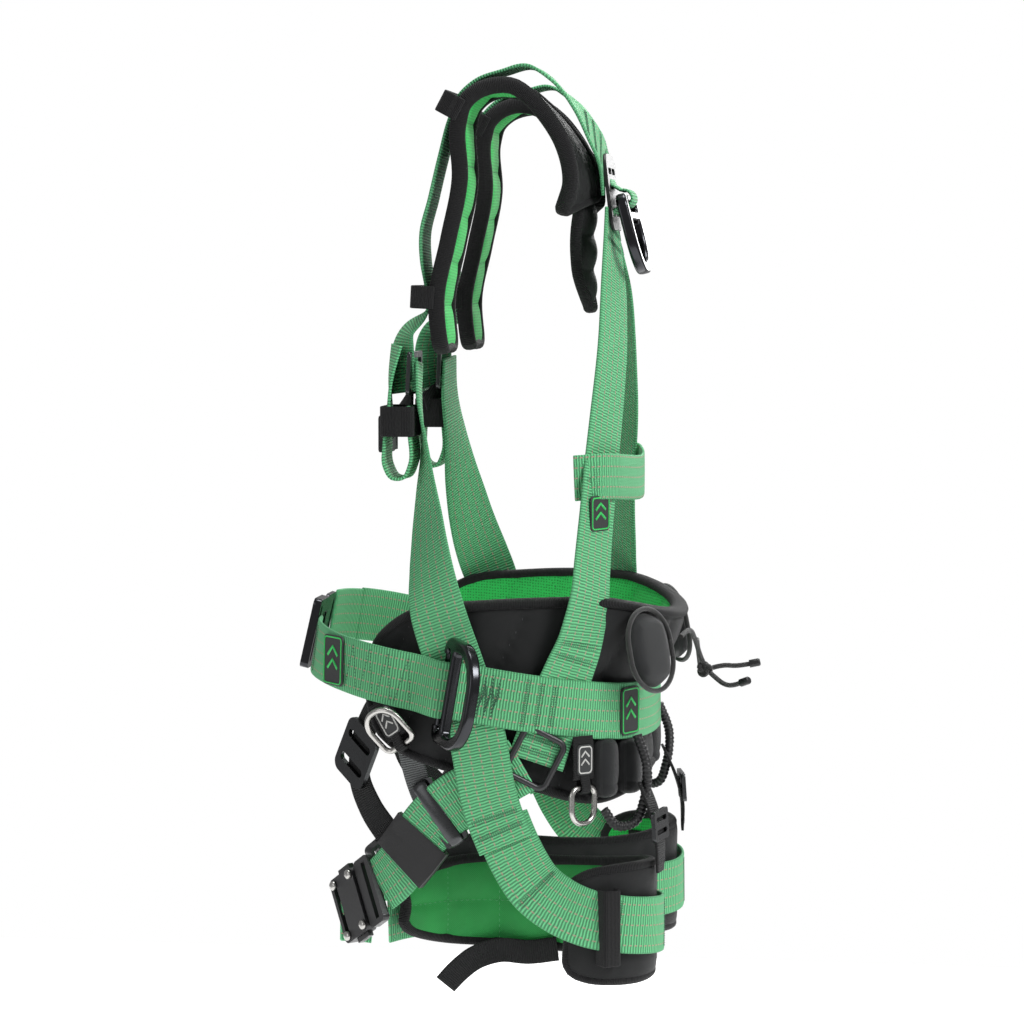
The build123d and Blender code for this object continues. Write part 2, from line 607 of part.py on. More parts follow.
inside = -LEG_SHELL - LAYER_GAP
leg_linings = []
for name, side in SIDES:
    save(upright_shell(leg_columns(), 0, -LEG_SHELL, side), f"leg_pad_{name}")
    leg_linings.append(upright_shell(leg_columns(4), inside, inside - LEG_LINING, side))
save_group("leg_linings", *leg_linings)
save_group("leg_straps", *(ribbon(LEG_STRAP, side=side) for _, side in SIDES))

keeper_face = facing(35)
keeper_plane = Plane(origin=Vector(140.5, 74, -648) + keeper_face * 1.8, x_dir=(0, 0, 1), z_dir=keeper_face)
with BuildPart() as leg_keeper:
    with BuildSketch(keeper_plane):
        Rectangle(62, 15)
    extrude(amount=2.2)
save_group("strap_keepers", *keepers, leg_keeper, mirrored(leg_keeper))
PAD_TAIL = ((47, 24, -690, 180), (49, 0, -693, 184), (54, -22, -691, 190), (58, -42, -697, 196),
            (60, -56, -708, 200), (61, -66, -719, 204))
save(ribbon(PAD_TAIL, NARROW_WIDTH, 1.8), "leg_pad_tail")

# black links from the back pad's front tips and back corners down to the leg loops
FRONT_LINK = ((123, -103, -474, -48), (113, -118, -496, -46), (106, -127, -520, -42), (104, -128, -545, -38),
              (108, -118, -568, -32), (116, -102, -588, -26))
FRONT_STAY = ((129, -84, -514, -14), (127, -80, -532, -10), (127, -74, -550, -6), (128, -66, -566, -4))
REAR_LINK = ((92, 97, -544, 78), (96, 106, -566, 78), (99, 112, -590, 80), (100, 112.5, -614, 84))
save_both("link_straps", ribbon(FRONT_LINK, LOOP_WIDTH, 2.2), ribbon(FRONT_STAY, 20, 2.0),
          ribbon(REAR_LINK, LOOP_WIDTH, 2.2))
link_plane = Plane(origin=Vector(107.5, -129.5, -524), x_dir=(0.63, 0.60, -0.5), z_dir=facing(-42))
front_slide = framed_plate(link_plane, 40, 50, 4.0, ((11, 7), (-11, 7)), 8)
rear_slide_plane = Plane(origin=(99, 112, -577), x_dir=(1, -0.2, 0), z_dir=facing(78, 4))
save_both("link_slides", front_slide, framed_plate(rear_slide_plane, 35, 24, 3.2, ((5, 4), (-5, 4)), 3))


# ---- leg buckles: a riveted body that slides off its tongue, with two squeeze levers --------
BUCKLE_TURN = 30           # degrees that the buckle is turned in its own plane
LEVER_TRAVEL = 3.0
buckle_face = facing(-47)
level_line = facing(43)
pull_line = level_line * cos(radians(BUCKLE_TURN)) + Vector(0, 0, sin(radians(BUCKLE_TURN)))
buckle_plane = Plane(origin=(97, -132, -646), x_dir=pull_line, z_dir=buckle_face)


def buckle_block(x_range, y_range, thickness, corner=0.0):
    """A block on the buckle's plane, centred through its thickness."""
    width, length = x_range[1] - x_range[0], y_range[1] - y_range[0]
    with BuildPart() as block:
        with BuildSketch(buckle_plane):
            with Locations((x_range[0] + width / 2, y_range[0] + length / 2)):
                if corner:
                    RectangleRounded(width, length, corner)
                else:
                    Rectangle(width, length)
        extrude(amount=thickness / 2, both=True)
    return block.part


with BuildPart() as buckle_body:
    add(buckle_block((-25, 12), (-27, 27), 9.6, corner=5))
    add(buckle_block((-21, -15.5), (-23.5, 23.5), 12), mode=Mode.SUBTRACT)
    add(buckle_block((-11, 13), (-18, 18), 4.8), mode=Mode.SUBTRACT)
    for low, high in ((21, 28), (-28, -21)):
        add(buckle_block((-12, 8), (low, high), 5.6), mode=Mode.SUBTRACT)
with BuildPart() as rivets:
    with BuildSketch(buckle_plane.offset(4.85)):
        with Locations(*((x - 5.5, y) for x in (-13, 13) for y in (-21.5, 21.5))):
            Circle(3.6)
    extrude(amount=1.6)
riveted = (buckle_body, rivets)
save_group("leg_buckle_body_left", *riveted)
save_group("leg_buckle_body_right", *(mirrored(piece) for piece in riveted))
with BuildPart() as buckle_tongue:
    add(buckle_block((14, 36), (-28, 28), 6, corner=4))
    add(buckle_block((25, 30.5), (-23.5, 23.5), 8), mode=Mode.SUBTRACT)
    add(buckle_block((-7, 15), (-15, 15), 3.6))
save_both("leg_buckle_tongues", buckle_tongue)
for name, low, high in (("upper", 21.6 + LEVER_TRAVEL, 31), ("lower", -31, -21.6 - LEVER_TRAVEL)):
    with BuildPart() as lever:
        add(buckle_block((-11, 7), (low, high), 4.8))
    save_pair(lever, f"leg_buckle_{name}_lever")
STRAP_END = ((85.5, -144.5, -658, -47), (83, -147, -658.5, -90), (81.5, -143, -658.5, -160),
             (83, -133, -659, 190), (83.5, -121, -660, 198))
for name, side in SIDES:
    save(ribbon(STRAP_END, 44, side=side), f"leg_strap_end_{name}")


# ---- moulded labels -------------------------------------------------------------------------
def belt_label(angle, width, height):
    """A thin rubber patch on the belt's outer face."""
    x, y, z, heading, lean = belt_station(angle)
    face = facing(heading, lean)
    origin = Vector(x, y, z) + face * (WEB_THICK / 2 + LAYER_GAP)
    with BuildPart() as label:
        with BuildSketch(Plane(origin=origin, x_dir=Vector(0, 0, 1).cross(face), z_dir=face)):
            RectangleRounded(width, height, 4)
        extrude(amount=1.4)
    return label


label_face = facing(62)
with BuildPart() as cross_label:
    with BuildSketch(Plane(origin=Vector(100.6, 62, -325) + label_face * 2, x_dir=(-0.88, 0.47, 0),
                           z_dir=label_face)):
        RectangleRounded(26, 28, 2)
    extrude(amount=1.4)
with BuildPart() as labels:
    for patch in (belt_label(43, 30, 40), belt_label(150, 26, 38), cross_label):
        add(patch.part)
save(labels, "labels")
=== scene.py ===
"""Tree climbing saddle: webbing, padding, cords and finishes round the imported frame.

Laid out as an add-on: each piece has its own operator, and the panel lists them.
Lengths in the station lists are millimetres in the saddle's own frame, +Z up, the wearer facing -Y.
"""

import math

import bmesh
import bpy
import numpy as np
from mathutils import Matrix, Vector


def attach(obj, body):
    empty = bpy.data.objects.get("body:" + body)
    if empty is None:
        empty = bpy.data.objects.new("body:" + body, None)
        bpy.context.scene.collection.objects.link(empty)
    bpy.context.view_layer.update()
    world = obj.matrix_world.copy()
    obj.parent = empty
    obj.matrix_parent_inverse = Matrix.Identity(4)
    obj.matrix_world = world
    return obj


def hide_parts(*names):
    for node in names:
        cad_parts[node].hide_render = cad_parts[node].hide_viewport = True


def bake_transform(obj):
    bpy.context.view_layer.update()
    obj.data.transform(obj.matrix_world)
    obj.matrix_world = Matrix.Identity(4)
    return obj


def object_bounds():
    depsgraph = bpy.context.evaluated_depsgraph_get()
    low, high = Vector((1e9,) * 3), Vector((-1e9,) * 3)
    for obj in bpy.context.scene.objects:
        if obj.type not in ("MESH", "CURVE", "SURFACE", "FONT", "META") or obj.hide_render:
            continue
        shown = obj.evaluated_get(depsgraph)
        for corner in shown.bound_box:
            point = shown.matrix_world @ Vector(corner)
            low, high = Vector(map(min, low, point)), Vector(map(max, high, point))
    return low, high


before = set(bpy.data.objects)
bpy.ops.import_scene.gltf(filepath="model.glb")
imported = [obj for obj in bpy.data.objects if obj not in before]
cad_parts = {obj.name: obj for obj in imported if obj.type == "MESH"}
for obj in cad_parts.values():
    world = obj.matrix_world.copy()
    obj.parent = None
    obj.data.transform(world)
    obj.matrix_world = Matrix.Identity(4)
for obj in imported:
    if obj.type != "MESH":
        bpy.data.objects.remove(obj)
CAD_BOX = [list(corner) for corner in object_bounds()]

bl_info = {
    "name": "Tree climbing saddle",
    "version": (1, 0, 0),
    "blender": (4, 5, 0),
    "location": "3D View > Sidebar > Saddle",
    "description": "Builds the soft goods and finishes of a tree climbing saddle",
    "category": "Object",
}

MM = 0.001
ROOT = "harness"
SIDES = (("left", 1), ("right", -1))


# ---- shader graphs ---------------------------------------------------------------------------
class Signal:
    """A number socket. Python operators on it add Math nodes to its graph."""

    def __init__(self, graph, socket):
        self.graph = graph
        self.socket = socket

    def _math(self, operation, *values):
        made = self.graph.node("ShaderNodeMath", {"operation": operation}, dict(enumerate(values)))
        return Signal(self.graph, made.outputs[0])

    def __add__(self, other):
        return self._math("ADD", self, other)

    def __radd__(self, other):
        return self._math("ADD", other, self)

    def __sub__(self, other):
        return self._math("SUBTRACT", self, other)

    def __rsub__(self, other):
        return self._math("SUBTRACT", other, self)

    def __mul__(self, other):
        return self._math("MULTIPLY", self, other)

    def __rmul__(self, other):
        return self._math("MULTIPLY", other, self)

    def __truediv__(self, other):
        return self._math("DIVIDE", self, other)

    def __abs__(self):
        return self._math("ABSOLUTE", self)

    def __lt__(self, other):
        return self._math("LESS_THAN", self, other)

    def __gt__(self, other):
        return self._math("GREATER_THAN", self, other)

    def fraction(self):
        return self._math("FRACT", self)

    def sine(self):
        return self._math("SINE", self)

    def low_of(self, other):
        return self._math("MINIMUM", self, other)

    def high_of(self, other):
        return self._math("MAXIMUM", self, other)


class Finish:
    """One procedural material: a Principled shader and the nodes that feed it."""

    def __init__(self, name, roughness=0.6, metallic=0.0, specular=0.5, sheen=0.0, coat=0.0):
        self.material = bpy.data.materials.new(name)
        self.material.use_nodes = True
        self.tree = self.material.node_tree
        self.shader = self.tree.nodes["Principled BSDF"]
        self.shader.inputs["Roughness"].default_value = roughness
        self.shader.inputs["Metallic"].default_value = metallic
        self.shader.inputs["Specular IOR Level"].default_value = specular
        self.shader.inputs["Sheen Weight"].default_value = sheen
        self.shader.inputs["Sheen Roughness"].default_value = 0.5
        self.shader.inputs["Coat Weight"].default_value = coat

    def node(self, kind, settings=None, inputs=None):
        """A node of this kind: its settings first, then the values or links of its sockets."""
        made = self.tree.nodes.new(kind)
        for key, value in (settings or {}).items():
            setattr(made, key, value)
        for key, value in (inputs or {}).items():
            self.feed(made.inputs[key], value)
        return made

    def feed(self, socket, value):
        """Gives a socket a link or a plain value."""
        if isinstance(value, Signal):
            self.tree.links.new(value.socket, socket)
        elif isinstance(value, bpy.types.NodeSocket):
            self.tree.links.new(value, socket)
        else:
            socket.default_value = value

    def place(self, output="Object"):
        """Texture coordinates: Object for the saddle's own frame, UV for metres along a strap."""
        return self.node("ShaderNodeTexCoord").outputs[output]

    def strap_place(self):
        """Metres across from the middle of the webbing, and metres along it."""
        split = self.node("ShaderNodeSeparateXYZ", inputs={0: self.place("UV")})
        return Signal(self, split.outputs[0]), Signal(self, split.outputs[1])

    def noise(self, scale, detail=3.0, roughness=0.55):
        made = self.node("ShaderNodeTexNoise",
                         inputs={"Vector": self.place(), "Scale": scale, "Detail": detail,
                                 "Roughness": roughness})
        return Signal(self, made.outputs["Fac"])

    def blend(self, factor, first, second):
        """The mix of two colours, each a linear RGB triple or a socket."""
        made = self.node("ShaderNodeMix", {"data_type": "RGBA"},
                         {0: factor, 6: self.colour(first), 7: self.colour(second)})
        return made.outputs[2]

    @staticmethod
    def colour(value):
        return (*value, 1) if isinstance(value, tuple) else value

    def bump(self, height, depth, strength=1.0):
        """Relief of this depth in metres."""
        made = self.node("ShaderNodeBump",
                         inputs={"Height": height, "Distance": depth, "Strength": strength})
        self.tree.links.new(made.outputs[0], self.shader.inputs["Normal"])

    def paint(self, colour=None, roughness=None):
        if colour is not None:
            self.feed(self.shader.inputs["Base Color"], self.colour(colour))
        if roughness is not None:
            self.feed(self.shader.inputs["Roughness"], roughness)
        return self.material


def tuned(colour, share):
    """A colour made lighter or darker by a share."""
    return tuple(min(1.0, part * share) for part in colour)


LANE_PITCH, DASH_PITCH, DASH_SHARE = 0.008, 0.0046, 0.62
THREAD_HALF, YARN_PITCH, SELVEDGE = 0.00055, 0.0011, 0.0012


def webbing_finish(name, colour, width, marker=None, rib=0.0023):
    """Ribbed webbing, with dashed marker threads running along it if it has any."""
    finish = Finish(name, roughness=0.6, specular=0.3, sheen=0.05)
    across, along = finish.strap_place()
    chevron = (across * (2 * math.pi / LANE_PITCH)).sine() * 0.35
    ribs = (along * (2 * math.pi / rib) + chevron).sine() * 0.5 + 0.5
    weave = (across * (2 * math.pi / YARN_PITCH)).sine() * 0.5 + 0.5
    fuzz = finish.noise(900.0, 2.0)
    cloud = finish.noise(28.0, 3.0)
    # The ribs are real relief and also drive the bump. Their troughs, painted down to 0.13 of the
    # colour, are painted shade between the ribs.
    body = finish.blend(ribs * 0.75 + fuzz * 0.25, tuned(colour, 0.13), tuned(colour, 1.25))
    body = finish.blend(cloud * 0.45, body, tuned(colour, 0.7))
    height = ribs + weave * 0.25 + fuzz * 0.3
    if marker:
        lane = abs((across / LANE_PITCH + 0.5).fraction() - 0.5) * LANE_PITCH
        dash = (along / DASH_PITCH).fraction() < DASH_SHARE
        threads = (lane < THREAD_HALF) * dash * (abs(across) < width / 2 - 0.003)
        body = finish.blend(threads * 0.85, body, marker)
        height = height + threads * 1.2
    selvedge = abs(across) > width / 2 - SELVEDGE
    body = finish.blend(selvedge * 0.45, body, tuned(colour, 0.45))
    finish.bump(height, 0.0005)
    return finish.paint(body, fuzz * 0.25 + 0.6)


def cloth_finish(name, colour, thread=0.0011, sheen=0.05):
    """Plain tightly woven outer fabric."""
    finish = Finish(name, roughness=0.6, specular=0.3, sheen=sheen)
    across, along = finish.strap_place()
    warp = (across * (2 * math.pi / thread)).sine()
    weft = (along * (2 * math.pi / thread)).sine()
    weave = warp * weft * 0.5 + 0.5
    dust = finish.noise(45.0, 4.0)
    body = finish.blend(weave * 0.6 + dust * 0.4, tuned(colour, 0.55), tuned(colour, 1.6))
    finish.bump(weave + dust * 0.4, 0.0003)
    return finish.paint(body, dust * 0.2 + 0.45)


def mesh_finish(name, colour):
    """Knitted spacer mesh: rows of small round holes."""
    finish = Finish(name, roughness=0.8, specular=0.2, sheen=0.1)
    cells = finish.node("ShaderNodeTexVoronoi", {"feature": "F1"},
                        {"Vector": finish.place("UV"), "Scale": 420.0, "Randomness": 0.25})
    depth = Signal(finish, cells.outputs["Distance"])
    holes = (depth < 0.33)
    fuzz = finish.noise(60.0, 4.0)
    body = finish.blend(holes * 0.7, tuned(colour, 1.1), tuned(colour, 0.3))
    body = finish.blend(fuzz * 0.5, body, tuned(colour, 0.62))
    finish.bump(1 - holes, 0.0006)
    return finish.paint(body)


def metal_finish(name, colour, roughness, metallic=1.0, wear=(0.5, 0.5, 0.52), coat=0.0):
    """Plated or coated metal with fine scuffs and brighter worn edges."""
    finish = Finish(name, roughness=roughness, metallic=metallic, coat=coat)
    scuffs = finish.noise(260.0, 6.0, roughness=0.7)
    cloud = finish.noise(18.0, 3.0)
    edge = Signal(finish, finish.node("ShaderNodeNewGeometry").outputs["Pointiness"])
    worn = ((edge - 0.56) * 6.0).high_of(0.0).low_of(0.6) * scuffs
    body = finish.blend(cloud * 0.6, tuned(colour, 0.8), tuned(colour, 1.25))
    body = finish.blend(worn, body, wear)
    finish.bump(scuffs, 0.00002)
    return finish.paint(body, scuffs * 0.22 + (roughness - 0.1))


def plastic_finish(name, colour, roughness=0.5):
    """Moulded plastic or rubber with a fine grain."""
    finish = Finish(name, roughness=roughness, specular=0.4)
    grit = finish.noise(700.0, 2.0)
    cloud = finish.noise(22.0, 3.0)
    body = finish.blend(cloud * 0.7, tuned(colour, 0.75), tuned(colour, 1.3))
    finish.bump(grit, 0.00015)
    return finish.paint(body, grit * 0.2 + roughness - 0.1)


def thread_finish(name, colour):
    """Twisted sewing thread."""
    finish = Finish(name, roughness=0.6, specular=0.4, sheen=0.2)
    ply = finish.noise(1500.0, 2.0)
    return finish.paint(finish.blend(ply, tuned(colour, 0.6), tuned(colour, 1.2)))


# ---- curves and meshes -----------------------------------------------------------------------
def facing(heading, pitch=0.0):
    """Unit vector of a face: heading 0 is +X, 90 is +Y; pitch tips it up. Degrees."""
    level = math.cos(math.radians(pitch))
    return np.array([math.cos(math.radians(heading)) * level,
                     math.sin(math.radians(heading)) * level,
                     math.sin(math.radians(pitch))])


def unit(rows):
    """Rows scaled to unit length."""
    return rows / np.maximum(np.linalg.norm(rows, axis=-1, keepdims=True), 1e-9)


def smooth_through(values, places, wanted):
    """Cubic curve through rows of values at rising places, read at the wanted places."""
    values, places, wanted = (np.asarray(a, float) for a in (values, places, wanted))
    slope = np.gradient(values, places, axis=0)
    index = np.clip(np.searchsorted(places, wanted, side="right") - 1, 0, len(places) - 2)
    span = (places[index + 1] - places[index])[:, None]
    t = ((wanted - places[index]))[:, None] / span
    start, end = values[index], values[index + 1]
    return (start * (2 * t ** 3 - 3 * t ** 2 + 1) + end * (3 * t ** 2 - 2 * t ** 3)
            + slope[index] * span * (t ** 3 - 2 * t ** 2 + t)
            + slope[index + 1] * span * (t ** 3 - t ** 2))


class Run:
    """The middle line of a strap: a smooth curve with its own face direction, in metres."""

    def __init__(self, stations, side=1, step=2.5):
        points = np.array([s[:3] for s in stations], float)
        faces = np.array([facing(s[3], *s[4:5]) for s in stations])
        chords = np.concatenate([[0], np.cumsum(np.linalg.norm(np.diff(points, axis=0), axis=1))])
        count = max(8, int(chords[-1] / step))
        along = np.linspace(0, chords[-1], count)
        line = smooth_through(points, chords, along) * MM
        face = unit(smooth_through(faces, chords, along))
        if side < 0:
            line, face = line * (-1, 1, 1), face * (-1, 1, 1)
        tangent = unit(np.gradient(line, axis=0))
        across = unit(np.cross(tangent, face))
        self.line, self.tangent, self.across = line, tangent, across
        self.face = np.cross(across, tangent)
        self.length = np.concatenate([[0], np.cumsum(np.linalg.norm(np.diff(line, axis=0),
                                                                    axis=1))])
        self.side = side

    def at(self, u, v, lift=0.0):
        """A point u metres across, v along and lift off the face, and the tangent and face there."""
        read = [np.stack([np.interp(v, self.length, rows[:, k]) for k in range(3)])
                for rows in (self.line, self.tangent, self.across, self.face)]
        line, tangent, across, face = read
        return line + across * (u * self.side) + face * lift, unit(tangent), unit(face)


def new_object(name, vertices, faces, material, uvs=None, smooth=True):
    """A mesh object from lists, with loop UVs in metres if given, one row per vertex."""
    mesh = bpy.data.meshes.new(name)
    mesh.from_pydata([tuple(v) for v in vertices], [], [tuple(f) for f in faces])
    if uvs is not None:
        layer = mesh.uv_layers.new(name="UVMap")
        corner = np.array([loop.vertex_index for loop in mesh.loops])
        layer.data.foreach_set("uv", np.asarray(uvs, float)[corner].ravel())
    mesh.polygons.foreach_set("use_smooth", [smooth] * len(mesh.polygons))
    mesh.materials.append(material)
    mesh.update()
    made = bpy.data.objects.new(name, mesh)
    bpy.context.scene.collection.objects.link(made)
    return made


def join(name, *objects):
    """One object from several meshes."""
    bpy.ops.object.select_all(action="DESELECT")
    for piece in objects:
        piece.select_set(True)
    bpy.context.view_layer.objects.active = objects[0]
    bpy.ops.object.join()
    objects[0].name = name
    return objects[0]


def strip_profile(width, thickness):
    """Cross-section of webbing with rounded edges: (across, out of the face)."""
    half, thick = width / 2, thickness / 2
    top = [(-half, 0), (-half + 0.4 * thick, 0.75 * thick), (-half + 1.2 * thick, thick)]
    top += [(half * k, thick) for k in (-0.5, 0, 0.5)]
    top += [(half - 1.2 * thick, thick), (half - 0.4 * thick, 0.75 * thick), (half, 0)]
    return top + [(u, -h) for u, h in reversed(top[1:-1])]


def strip(name, run, width, thickness, material, body=ROOT, wave=0.0):
    """Webbing along a run, with a UV map in metres, riding on a body if one is given."""
    profile = strip_profile(width, thickness)
    size, count = len(profile), len(run.line)
    vertices, uvs, faces = [], [], []
    for i in range(count):
        sway = wave * math.sin(run.length[i] * 55 + run.side)
        for u, h in profile:
            ripple = sway * (2 * u / width) ** 2
            vertices.append(run.line[i] + run.across[i] * (u * run.side)
                            + run.face[i] * (h + ripple))
            uvs.append((u, run.length[i]))
    for i in range(count - 1):
        for j in range(size):
            k = (j + 1) % size
            faces.append((i * size + j, (i + 1) * size + j, (i + 1) * size + k, i * size + k))
    faces.append(tuple(range(size)))
    faces.append(tuple(reversed(range((count - 1) * size, count * size))))
    made = new_object(name, vertices, faces, material, uvs)
    fix_normals(made)
    if body:
        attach(made, body)
    return made


def fix_normals(piece):
    """Turns every face outwards."""
    mesh = bmesh.new()
    mesh.from_mesh(piece.data)
    bmesh.ops.recalc_face_normals(mesh, faces=mesh.faces)
    mesh.to_mesh(piece.data)
    mesh.free()


def grain(centre, direction, face, length, width):
    """Vertices and faces of one stitch: a pointed grain of thread lying on a face."""
    side = np.cross(face, direction)
    half, wide = length / 2, width / 2
    ring = [centre + side * wide, centre + face * wide, centre - side * wide, centre - face * wide]
    sunk = face * wide * 0.7
    points = [centre - direction * half - sunk, *ring, centre + direction * half - sunk]
    faces = [(0, 2, 1), (0, 3, 2), (0, 4, 3), (0, 1, 4), (5, 1, 2), (5, 2, 3), (5, 3, 4), (5, 4, 1)]
    return points, faces


class Stitching:
    """Threads gathered from several seams and made into one piece."""

    def __init__(self, name, material, width=0.0009):
        self.name, self.material, self.width = name, material, width
        self.vertices, self.faces = [], []

    def add(self, centre, direction, face, length):
        points, faces = grain(centre, direction, face, length, self.width)
        start = len(self.vertices)
        self.vertices += points
        self.faces += [tuple(start + k for k in f) for f in faces]

    def path(self, run, route, stitch=0.0026, lift=0.0016):
        """Stitches along a route of (across, along) millimetres on a strap's face."""
        for (u0, v0), (u1, v1) in zip(route, route[1:]):
            distance = math.hypot(u1 - u0, v1 - v0) * MM
            count = max(1, round(distance / stitch))
            for k in range(count):
                share = (k + 0.5) / count
                u, v = (u0 + (u1 - u0) * share) * MM, (v0 + (v1 - v0) * share) * MM
                centre, tangent, face = run.at(u, v, lift)
                across = np.cross(tangent, face) * run.side
                heading = unit(across * (u1 - u0) + tangent * (v1 - v0))
                self.add(centre, heading, face, distance / count * 0.82)

    def zigzag(self, run, start, length, half, pitch, lift=0.0016, stitch=0.0026):
        """Thread going from edge to edge as it runs along the strap."""
        count = max(2, round(length / pitch))
        route = [(half * (-1) ** k, start + length * k / count) for k in range(count + 1)]
        self.path(run, route, stitch, lift)

    def bar(self, run, place, half, rows=3, lift=0.0016):
        """A bar tack: close rows across the strap."""
        for k in range(rows):
            self.zigzag_across(run, place + 1.6 * k, half, lift)

    def zigzag_across(self, run, place, half, lift):
        count = int(half / 0.9)
        route = [(-half + 2 * half * k / count,
                  place + (0.9 if k % 2 else 0)) for k in range(count + 1)]
        self.path(run, route, 0.004, lift)

    def finish(self, body=ROOT):
        if not self.vertices:
            return None
        made = new_object(self.name, self.vertices, self.faces, self.material)
        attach(made, body)
        return made


def sweep(name, line, normals, profile, material, closed=False, body=ROOT, taper=None):
    """A profile of (sideways, along the normal) swept along a line of points in metres."""
    count, size = len(line), len(profile)
    if closed:
        tangent = unit(np.roll(line, -1, axis=0) - np.roll(line, 1, axis=0))
    else:
        tangent = unit(np.gradient(line, axis=0))
    side = unit(np.cross(tangent, normals))
    normal = np.cross(side, tangent)
    steps = np.linalg.norm(np.diff(line, axis=0, append=line[:1]), axis=1)
    length = np.concatenate([[0], np.cumsum(steps)[:-1]])
    girth = np.concatenate([[0], np.cumsum(np.linalg.norm(np.diff(profile, axis=0), axis=1))])
    vertices, uvs, faces = [], [], []
    for i in range(count):
        scale = taper(length[i]) if taper else 1.0
        for (u, h), around in zip(profile, girth):
            vertices.append(line[i] + (side[i] * u + normal[i] * h) * scale)
            uvs.append((around, length[i]))
    for i in range(count if closed else count - 1):
        n = (i + 1) % count
        for j in range(size):
            k = (j + 1) % size
            faces.append((i * size + j, n * size + j, n * size + k, i * size + k))
    if not closed:
        faces.append(tuple(range(size)))
        faces.append(tuple(reversed(range((count - 1) * size, count * size))))
    made = new_object(name, vertices, faces, material, uvs)
    fix_normals(made)
    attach(made, body)
    return made


def oval(half_width, half_height, count=12):
    """Points of an ellipse."""
    return np.array([(half_width * math.cos(2 * math.pi * k / count),
                      half_height * math.sin(2 * math.pi * k / count))
                     for k in range(count)])


# ---- padding ---------------------------------------------------------------------------------
# The crown is a share of the half thickness; the slope runs this many grid places from a seam.
PAD_CROWN, SEAM_SLOPE, SEAM_CREASE = 1.15, 3.2, 0.9
THREAD_LIFT, THREAD_SHARE = 0.0004, 0.72


class Padding:
    """Padding over a grid of points: columns along it and rows across it, in metres."""

    def __init__(self, points, normals):
        self.points, self.normals = np.asarray(points, float), unit(np.asarray(normals, float))
        self.columns, self.rows = self.points.shape[:2]

    def border(self):
        """Grid places round the edge, in order."""
        n, m = self.columns, self.rows
        return ([(i, 0) for i in range(n)] + [(n - 1, j) for j in range(1, m)]
                + [(i, m - 1) for i in range(n - 2, -1, -1)] + [(0, j) for j in range(m - 2, 0,
                                                                                      -1)])

    def edge_line(self, inset=0.0):
        """The edge as a closed line with its normals, pulled in by an inset."""
        places, line, normals = self.border(), [], []
        for i, j in places:
            inner_i, inner_j = min(max(i, 1), self.columns - 2), min(max(j, 1), self.rows - 2)
            inward = self.points[inner_i, inner_j] - self.points[i, j]
            inward = inward / max(np.linalg.norm(inward), 1e-9)
            line.append(self.points[i, j] + inward * inset)
            normals.append(self.normals[i, j])
        return np.array(line), np.array(normals)

    def build(self, name, material, half, seams, pressure=4.0, cap=0.0035, fill=0.7, pinch=0.2,
              stitches=None, body=ROOT):
        """A closed pad whose two faces swell between the seams, held at the edge and the seams."""
        n, m = self.columns, self.rows
        edge = set(self.border())
        held = {(i, j) for i in range(n) for j in range(m) if seams(i, j)} - edge
        vertices, uvs, outer, inner, pinned = [], [], {}, {}, []
        sewn = np.array(sorted(edge | held), float)
        run_along = np.concatenate([[0], np.cumsum(np.linalg.norm(np.diff(self.points[:, m // 2],
                                                                          axis=0), axis=1))])
        for i in range(n):
            run_across = np.concatenate([[0], np.cumsum(np.linalg.norm(np.diff(self.points[i],
                                                                               axis=0), axis=1))])
            for j in range(m):
                place = (run_across[j] - run_across[-1] / 2, run_along[i])
                for sheet, sign in ((outer, 1), (inner, -1)):
                    if (i, j) in edge:
                        if sign < 0:
                            inner[i, j] = outer[i, j]
                            continue
                        depth = 0.0
                    else:
                        away = np.hypot(sewn[:, 0] - i, sewn[:, 1] - j).min()
                        rise = 1 - max(0.0, 1 - away / SEAM_SLOPE) ** 2
                        depth = half * (pinch + (PAD_CROWN - pinch) * rise)
                    sheet[i, j] = len(vertices)
                    if (i, j) in edge or (i, j) in held:
                        pinned.append(len(vertices))
                    vertices.append(self.points[i, j] + self.normals[i, j] * depth * sign)
                    uvs.append(place)
        faces = []
        for i in range(n - 1):
            for j in range(m - 1):
                corners = ((i, j), (i + 1, j), (i + 1, j + 1), (i, j + 1))
                faces.append(tuple(outer[c] for c in corners))
                faces.append(tuple(inner[c] for c in reversed(corners)))
        made = new_object(name, vertices, faces, material, uvs)
        fix_normals(made)
        swell(made, pinned, pressure, cap)
        if stitches is not None:
            self.sew(made, outer, inner, held, stitches)
        tight = np.zeros(len(vertices), np.float32)
        tight[pinned] = SEAM_CREASE
        made.data.attributes.new("crease_vert", "FLOAT", "POINT").data.foreach_set("value", tight)
        refine = made.modifiers.new("refine", "SUBSURF")
        refine.levels = refine.render_levels = 1
        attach(made, body)
        return made

    def sew(self, made, outer, inner, held, stitches):
        """A stitch between every two neighbours along a seam, on both faces."""
        for sheet, sign in ((outer, 1), (inner, -1)):
            for i, j in held:
                for di, dj in ((1, 0), (0, 1), (1, 1), (1, -1)):
                    other = (i + di, j + dj)
                    if other not in held or (di and dj
                                             and ((i + di, j) in held or (i, j + dj) in held)):
                        continue
                    start = np.array(made.data.vertices[sheet[i, j]].co)
                    end = np.array(made.data.vertices[sheet[other]].co)
                    face = self.normals[i, j] * sign
                    direction = unit(end - start)
                    face = unit(face - direction * face.dot(direction))
                    stitches.add((start + end) / 2 + face * THREAD_LIFT, direction, face,
                                 np.linalg.norm(end - start) * THREAD_SHARE)


LAST_FRAME = 20


